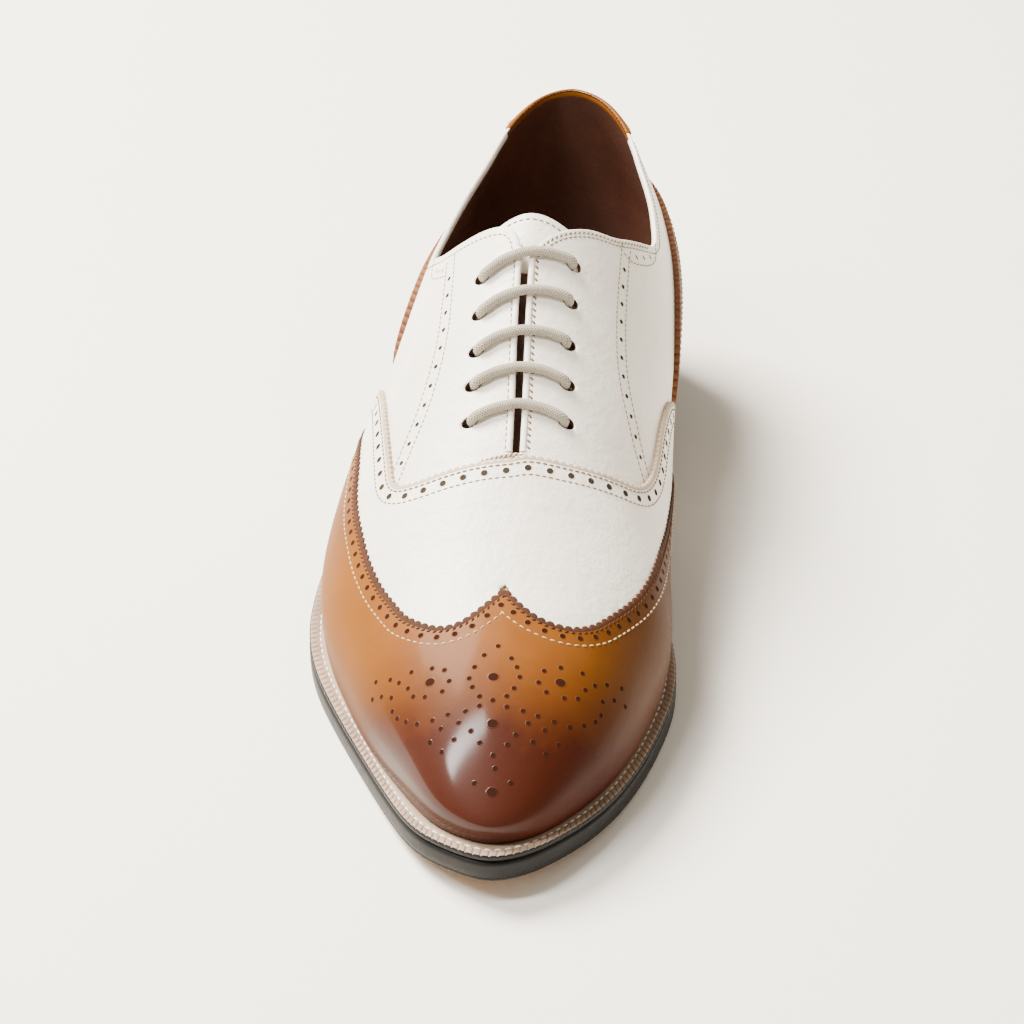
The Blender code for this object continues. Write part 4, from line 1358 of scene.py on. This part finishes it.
# Stitched corners of the facings, and the slots punched in them
CORNER_M = [
    (0.3383, 0.6000), (0.3383, 0.5755), (0.3300, 0.5450), (0.3138, 0.5036), (0.3000, 0.4780),
    (0.2893, 0.4676), (0.275, 0.468), (0.2660, 0.4800),
]
CORNER_L = [
    (0.3781, 0.6272), (0.3703, 0.5929), (0.3547, 0.5437), (0.3441, 0.5226), (0.3315, 0.5109),
    (0.3199, 0.5121),
]
SLOTS = [
    (1, 0.3236, 0.554), (1, 0.3113, 0.5252), (1, 0.2966, 0.4964),
    (-1, 0.3572, 0.5789), (-1, 0.3665, 0.6116), (-1, 0.3486, 0.5557),
]
for rows, side in ((CORNER_M, 1), (CORNER_L, -1)):
    brown += stitch_parts(soften(resample(spots(rows, side), LINE_STEP), 12), 0.0, *FINE_STITCH)
for side, place, v in SLOTS:
    here, normal = project(spot(side, place, v))
    white_holes.append(hole_part(here, spot(side, place, v + 0.02) - here, 0.0, 0.00036, 2.6))

# Holes of the medallion: side, place, share of the section line, and 1 where large
MEDALLION = [
    (-1, 0.9946, 0.8633), (-1, 0.9622, 0.8273), (1, 0.9703, 0.8273), (-1, 0.9488, 0.7842),
    (1, 0.9596, 0.7986), (-1, 0.9461, 0.7482), (1, 0.9569, 0.7698), (-1, 0.9569, 0.7338),
    (1, 0.9703, 0.7482), (-1, 0.9730, 0.7220), (1, 0.9838, 0.7338), (-1, 0.9946, 0.7240),
    (-1, 0.9757, 0.6978), (1, 0.9838, 0.7050), (-1, 0.9919, 0.7842, 1), (-1, 0.9973, 0.6619, 1),
    (-1, 0.8463, 0.5827), (-1, 0.8706, 0.6619), (-1, 0.8921, 0.6978), (-1, 0.8813, 0.6259, 1),
    (-1, 0.9110, 0.6906), (-1, 0.9083, 0.6475), (-1, 0.8867, 0.5755), (-1, 0.8706, 0.5324),
    (-1, 0.8571, 0.5324), (-1, 0.8409, 0.5108), (-1, 0.8274, 0.4820), (-1, 0.8112, 0.4101),
    (-1, 0.8193, 0.3381), (-1, 0.8301, 0.3957), (-1, 0.8436, 0.4388), (-1, 0.8544, 0.4029),
    (-1, 0.8652, 0.4029), (-1, 0.8787, 0.4317), (-1, 0.8948, 0.4748), (-1, 0.9137, 0.5468),
    (-1, 0.9326, 0.6115), (-1, 0.9569, 0.6619), (-1, 0.9299, 0.5540), (-1, 0.9515, 0.6187),
    (-1, 0.9515, 0.5612), (-1, 0.9703, 0.6187), (-1, 0.9218, 0.4748), (-1, 0.9407, 0.4892),
    (-1, 0.9838, 0.5971), (-1, 1.0, 0.5683), (1, 0.9973, 0.5252), (-1, 0.9838, 0.4532),
    (1, 0.9990, 0.4317, 1), (1, 0.9811, 0.4604), (1, 0.9838, 0.5971), (1, 0.9730, 0.6187),
    (1, 0.9542, 0.6331), (1, 0.9596, 0.6763), (1, 0.9380, 0.6331), (1, 0.9164, 0.5755), (1, 0.9326, 0.5755),
    (1, 0.9515, 0.5683), (1, 0.9380, 0.4964), (1, 0.9191, 0.4892), (1, 0.8975, 0.5108), (1, 0.8787, 0.4676),
    (1, 0.8625, 0.4388), (1, 0.8517, 0.4388), (1, 0.9029, 0.7338), (1, 0.8706, 0.6978), (1, 0.8436, 0.6187),
    (1, 0.8840, 0.6619, 1), (1, 0.9218, 0.7194), (1, 0.9137, 0.6763), (1, 0.8894, 0.6115),
    (1, 0.8706, 0.5683), (1, 0.8544, 0.5683), (1, 0.8382, 0.5468), (1, 0.8220, 0.5036), (1, 0.8058, 0.4317),
    (1, 0.8409, 0.4748), (1, 0.8247, 0.4317), (1, 0.8139, 0.3597),
]
for side, place, v, *large in MEDALLION:
    here, normal = project(spot(side, place, v))
    size = (0.00125, 1.15) if large else (0.00070, 1.0)
    tan_holes.append(hole_part(here, np.array([1.0, 0.0, 0.0]), CAP_TOP, *size))

tab_l, tab_m = (edge_line(tab_edge, side, 0.0, 0.088) for side in (-1, 1))
tab_line = np.vstack([tab_l[::-1], tab_m[1:]])
cream += stitch_parts(beside(soften(tab_line, 8), -0.0016), 0.0010, 0.0021, 0.0016, 0.00022)

dress(joined("tan_holes", tan_holes, [TAN, HOLE_BACKING_AND_SHADE]), "tan_leather")
dress(joined("white_holes", white_holes, [WHITE, HOLE_BACKING_AND_SHADE_WHITE]), "white_leather")
dress(joined("cream_stitches", cream, [THREAD_CREAM]), "tan_leather")
dress(joined("brown_stitches", brown, [THREAD_BROWN]), "white_leather")
dress(joined("dark_stitches", dark, [DARK_EDGE]), "tan_leather")

piping = []
for side in (-1, 1):
    piping += ridge(slit_line(side, SLIT / 2 + 0.0010, 0.402, 0.608), 0.0019, 0.00055, 0.0)
dress(joined("slit_piping", piping, [WHITE]), "white_leather")

# Tack at the slit's end
TACK_L = [(0.6125, 0.900), (0.6128, 0.950), (0.6130, 0.992)]
TACK_M = [(0.6130, 0.960), (0.6128, 0.900), (0.6122, 0.855)]
line = resample(np.vstack([spots(TACK_L, -1), spots(TACK_M, 1)]), LINE_STEP)
dress(joined("slit_tack", ridge(line, 0.0016, 0.0006, 0.0), [LIGHT_EDGE]), "white_leather")
stitches = stitch_parts(line, 0.0006, 0.0014, 0.0016, 0.00024, 1.2)
dress(joined("tack_stitches", stitches, [THREAD_BROWN]), "white_leather")

# Seam along the tongue's top: place, share of the section line
TONGUE_L = [
    (0.3700, 0.765), (0.3640, 0.775), (0.3600, 0.800), (0.3580, 0.850), (0.3574, 0.910), (0.3572, 0.975),
]
TONGUE_M = [
    (0.3572, 0.980), (0.3574, 0.910), (0.3580, 0.850), (0.3600, 0.800), (0.3640, 0.775), (0.3700, 0.765),
]
line = np.vstack([spots(TONGUE_L, -1, -TONGUE_DEPTH), spots(TONGUE_M, 1, -TONGUE_DEPTH)])
stitches = stitch_parts(soften(resample(line, LINE_STEP), 10), -TONGUE_DEPTH, 0.0020, 0.0016, 0.00022)
dress(joined("tongue_stitches", stitches, [THREAD_BROWN]), "white_leather")

# Painted shadow: a dark strip of lining leather on the tongue under the slit stands in for the shade inside
# the slit
line = np.array([spot(-1, p, 1.0, -TONGUE_DEPTH) for p in np.linspace(0.412, 0.612, 90)])
dress(joined("slit_painted_shadow", ridge(line, 0.0064, 0.0004, -TONGUE_DEPTH), [LINING]), "white_leather")


# ---- lace


def lace_path():
    path = []
    deep = WALL + 0.0001
    for k, (row, side) in enumerate(LACE_ORDER):
        here, normal, up, along = eyelet_axes(row, side)
        outside_next = k % 2 == 0
        out = [
            here - normal * deep,
            here,
            here + normal * 0.0006 + up * 0.0002,
            here + normal * 0.0014 + up * 0.0007,
            here + normal * 0.0018 + up * 0.0018,
        ]
        partner = LACE_ORDER[k + 1] if not outside_next and k + 1 < len(LACE_ORDER) else None
        if outside_next and k > 0:
            partner = LACE_ORDER[k - 1]
        if partner is not None:
            other, w = eyelet(*partner)
            toward = other.points(w, 0.0)[0] - here
            heading = along if np.dot(toward, along) > 0 else -along
        else:
            heading = along if k == 0 else -along
        below = [
            here - normal * (deep + 0.0006) + heading * 0.0002,
            here - normal * (deep + 0.0014) + heading * 0.0007,
            here - normal * (deep + 0.0018) + heading * 0.0018,
        ]
        if outside_next:
            path += below[::-1] + out + bar_points(LACE_ORDER[k], LACE_ORDER[k + 1])
        else:
            path += out[::-1] + below
            if partner is not None:
                path += run_points(LACE_ORDER[k], partner, LACE_RUNS[(k - 1) // 2])
    return path


def bar_points(first, second):
    line_a, v_a = eyelet(*first)
    line_b, v_b = eyelet(*second)
    points = []
    for share in (0.22, 0.36, 0.5, 0.64, 0.78):
        place = line_a.place + (line_b.place - line_a.place) * share
        if share < 0.5:
            side = first[1]
            v = v_a + (1 - v_a) * share / 0.5
        else:
            side = second[1]
            v = v_b + (1 - v_b) * (1 - share) / 0.5
        points.append(spot(side, place, v, LACE / 2 + 0.0004))
    return points


def run_points(first, second, sideways):
    line_a, v_a = eyelet(*first)
    line_b, v_b = eyelet(*second)
    points = []
    far = abs(first[0] - second[0]) > 1
    for share in (0.14, 0.26, 0.38, 0.5, 0.62, 0.74, 0.86) if far else (0.3, 0.5, 0.7):
        place = line_a.place + (line_b.place - line_a.place) * share
        middle = min(max((share - 0.1) / 0.8, 0), 1)
        v = v_a + (v_b - v_a) * share + sideways * math.sin(math.pi * middle) ** 0.7
        points.append(spot(first[1], place, v, -LACE_DEPTH))
    return points


def smooth_path(points, per=8):
    """Centripetal curve through the points."""
    p = np.array(points, float)
    p = np.vstack([2 * p[0] - p[1], p, 2 * p[-1] - p[-2]])
    out = []
    for i in range(1, len(p) - 2):
        t = [0.0]
        for k in range(3):
            t.append(t[-1] + max(np.linalg.norm(p[i + k] - p[i + k - 1]), 1e-6) ** 0.5)
        for u in np.linspace(t[1], t[2], per, endpoint=False):
            a1 = (t[1] - u) / (t[1] - t[0]) * p[i - 1] + (u - t[0]) / (t[1] - t[0]) * p[i]
            a2 = (t[2] - u) / (t[2] - t[1]) * p[i] + (u - t[1]) / (t[2] - t[1]) * p[i + 1]
            a3 = (t[3] - u) / (t[3] - t[2]) * p[i + 1] + (u - t[2]) / (t[3] - t[2]) * p[i + 2]
            b1 = (t[2] - u) / (t[2] - t[0]) * a1 + (u - t[0]) / (t[2] - t[0]) * a2
            b2 = (t[3] - u) / (t[3] - t[1]) * a2 + (u - t[1]) / (t[3] - t[1]) * a3
            out.append((t[2] - u) / (t[2] - t[1]) * b1 + (u - t[1]) / (t[2] - t[1]) * b2)
    out.append(p[-2])
    return np.array(out)


dress(cord_mesh("lace_cord", smooth_path(lace_path()), LACE / 2, LACE_MAT, 16), "lace_cotton", "lace")


# ---- sole, welt and heel


def outline_ring(curve, inset, count, last=None):
    """Closed run of (x, station) rows around an outline moved inwards, lateral side first."""
    lists = []
    for side in (-1, 1):
        moved = Edge(curve, side, inset)
        end = moved.run[-1] if last is None else moved.run_at(last)
        lists.append([moved.at_run(end * k / count) for k in range(count + 1)])
    if last is None:
        return lists[0] + lists[1][-2:0:-1]
    return lists[0] + lists[1][::-1][:-1]


def stack(name, rings, materials, marks, closed=False, smooth=True):
    """Solid from rings of (x, y, z) with a material mark each; its ends are capped unless it is closed."""
    n = len(rings[0])
    count = len(rings)
    verts = [p for ring in rings for p in ring]
    faces = ring_faces(count, n)
    index = [mark for mark in marks[:-1] for _ in range(n)]
    if closed:
        last = (count - 1) * n
        faces += [(last + i, last + (i + 1) % n, (i + 1) % n, i) for i in range(n)]
        index += [marks[-1]] * n
    else:
        faces += end_caps(count, n)
        index += [marks[0], marks[-1]]
    return solid(name, verts, faces, materials, index, smooth, 0.0000005)


def level(ring, height):
    p = np.array(ring)
    return list(to_frame(np.column_stack([p, [height(t) for t in p[:, 1]]])))


def above(rows, height):
    """Rows of (x, station) at a height over the sole's underside, in the shared frame."""
    z = np.array([under(t) for t in rows[:, 1]]) + height
    return to_frame(np.column_stack([rows, z]))


# Outsole from below: inset, height over its underside
SOLE_PROFILE = [
    (0.0150, 0.0), (0.0024, 0.0), (0.0014, 0.0), (0.0006, 0.0003), (0.0001, 0.0010), (0.0003, 0.0012),
    (0.0001, 0.0014), (0.0, 0.0030), (0.0, 0.0052), (0.0001, SOLE - 0.0008), (0.0006, SOLE - 0.0002),
    (0.0011, SOLE),
]
rings = []
for d, h in SOLE_PROFILE:
    rings.append(level(outline_ring(SOLE_CURVE, lambda t, d=d: d, 240), lambda t, h=h: under(t) + h))
sole = stack("sole_leather_body", rings, [SOLE_EDGE, SOLE_UNDER], [1, 1] + [0] * 10)
dress(sole, "sole_leather", "outsole")

# Welt: pitch and depth of the wheel's marks, then its section from outside:
# inset, height over its foot, share of the mark's depth
WHEEL_PITCH = 0.0023
WHEEL_DEPTH = 0.00055
WELT_PROFILE = [
    (0.0011, 0.0, 0.0), (0.0004, 0.0003, 0.0), (0.0001, 0.0009, 0.0), (0.0001, WELT - 0.0007, 0.15),
    (0.0004, WELT - 0.0002, 0.8), (0.0009, WELT, 1.0), (0.0020, WELT, 1.0), (0.0028, WELT, 0.9),
    (0.0031, WELT - 0.0001, 0.0), (0.0036, WELT - 0.0004, 0.0), (0.0042, WELT - 0.0001, 0.0),
    (0.0050, WELT, 0.0),
]


def welt_body():
    outer = np.array(outline_ring(SOLE_CURVE, lambda t: 0.0, 1500))
    inner = np.array(outline_ring(UPPER_CURVE, lambda t: tuck(t) + WALL, 1500))
    run = np.concatenate([[0], np.cumsum(np.linalg.norm(np.diff(outer, axis=0), axis=1))])
    phase = np.abs(((run / run[-1] * round(run[-1] / WHEEL_PITCH)) % 1.0) - 0.5) * 2
    pressed = np.clip((0.42 - phase) / 0.42, 0, 1) ** 1.5 * WHEEL_DEPTH
    normal = inner - outer
    normal = normal / np.linalg.norm(normal, axis=1)[:, None]
    base = SOLE + GAP
    rings = [list(above(outer + normal * d, base + h - pressed * share)) for d, h, share in WELT_PROFILE]
    rings += [list(above(inner, h)) for h in (base + WELT, base)]
    obj = stack("welt_ring", rings, [SOLE_EDGE, WELT_MAT], [0] * 4 + [1] * 10, closed=True)
    dress(obj, "welt_leather", "welt")
    line = above(outer + normal * 0.0036, base + WELT - 0.0004)
    points = resample(np.vstack([line, line[:1]]), 0.0029)[:-1]
    tangent = np.gradient(points, axis=0)
    tangent /= np.linalg.norm(tangent, axis=1)[:, None]
    parts = []
    for point, along in zip(points, tangent):
        side = np.cross((0.0, 0.0, 1.0), along)
        middle = point + np.array([0, 0, 0.00010])
        parts.append(capsule(middle, along, side, np.cross(along, side), 0.0022, 0.00034, WELT_THREAD, 0.8, 8))
    dress(joined("welt_stitches", parts, [THREAD_WHITE]), "welt_leather")


welt_body()


def heel_ring(inset, height):
    return level(outline_ring(SOLE_CURVE, lambda t: inset, 120, HEEL_LENGTH), height)


# Heel stack with its three grooves: inset, share of its height
STACK_PROFILE = [
    (0.0012, 0.0), (0.0011, 0.24), (0.0016, 0.25), (0.0010, 0.26), (0.0008, 0.49), (0.0013, 0.50),
    (0.0007, 0.51), (0.0005, 0.74), (0.0010, 0.75), (0.0004, 0.76), (0.0002, 1.0),
]
low = TOP_LIFT + GAP
rings = []
for d, share in STACK_PROFILE:
    rings.append(heel_ring(d, lambda t, share=share: low + (under(t) - GAP - low) * share))
dress(stack("heel_stack", rings, [SOLE_EDGE], [0] * 11, smooth=False), "sole_leather", "heel_block")
lift_rows = ((0.0024, 0.0), (0.0016, 0.0006), (0.0013, 0.0030), (0.0012, TOP_LIFT))
rings = [heel_ring(d, lambda t, h=h: h) for d, h in lift_rows]
dress(stack("top_lift_rubber", rings, [RUBBER], [0] * 4, smooth=False), "heel_rubber", "top_lift")

insole = bpy.data.objects.get("insole")
if insole is not None:
    for k in range(len(insole.material_slots)):
        insole.material_slots[k].material = SOCK


# ---- camera, lights, floor


# Camera as fitted to the photo: turn, point of the toe that it was measured from, place before the turn
YAW = math.radians(1.2448)
TOE = (0.0061359, -0.0957845)
PLACE = (0.0563, -0.7592, 0.5883)
AIM = (0.004, -0.020, 0.040)
FOCAL = 2900 / 1024
ZOOM = 1.12


def faced(obj, where, target):
    """Move an object and turn its -Z to a target."""
    obj.location = where
    obj.rotation_euler = (Vector(target) - Vector(where)).to_track_quat("-Z", "Y").to_euler()


def area(name, where, target, size, power, colour):
    data = bpy.data.lights.new(name, "AREA")
    data.shape = "RECTANGLE"
    data.size, data.size_y = size
    data.energy = power
    data.color = colour
    faced(placed(name, data), where, target)


def stage():
    pale = plain("floor_pale", (0.900, 0.868, 0.800), 0.80, 40.0, 0.05, 0.0002, 0.02)
    corners = [(-6, -6, 0), (6, -6, 0), (6, 6, 0), (-6, 6, 0)]
    floor = placed("floor", mesh_of("floor", corners, [(0, 1, 2, 3)], [pale]))
    world = bpy.data.worlds.new("studio")
    world.use_nodes = True
    background = world.node_tree.nodes["Background"].inputs
    background["Color"].default_value = (1.0, 0.890, 0.750, 1.0)
    background["Strength"].default_value = 0.66
    bpy.context.scene.world = world
    area("key", (-0.85, 0.55, 1.35), (0.0, 0.0, 0.04), (0.7, 0.7), 150.0, (1.0, 0.935, 0.835))
    area("glow", (-0.44, -0.27, 0.92), (0.0, -0.09, 0.04), (0.13, 0.55), 14.0, (1.0, 0.975, 0.94))


def camera():
    c, s = math.cos(YAW), math.sin(YAW)
    gx = PLACE[0] - TOE[0]
    gy = PLACE[1] - TOE[1]
    where = Vector((c * gx - s * gy - MIDDLE, -LENGTH / 2 + s * gx + c * gy, PLACE[2]))
    data = bpy.data.cameras.new("view")
    data.sensor_width = 36.0
    data.lens = FOCAL * data.sensor_width * ZOOM
    data.clip_start = 0.05
    data.clip_end = 50.0
    view = placed("view", data)
    faced(view, where, AIM)
    bpy.context.scene.camera = view


stage()
camera()
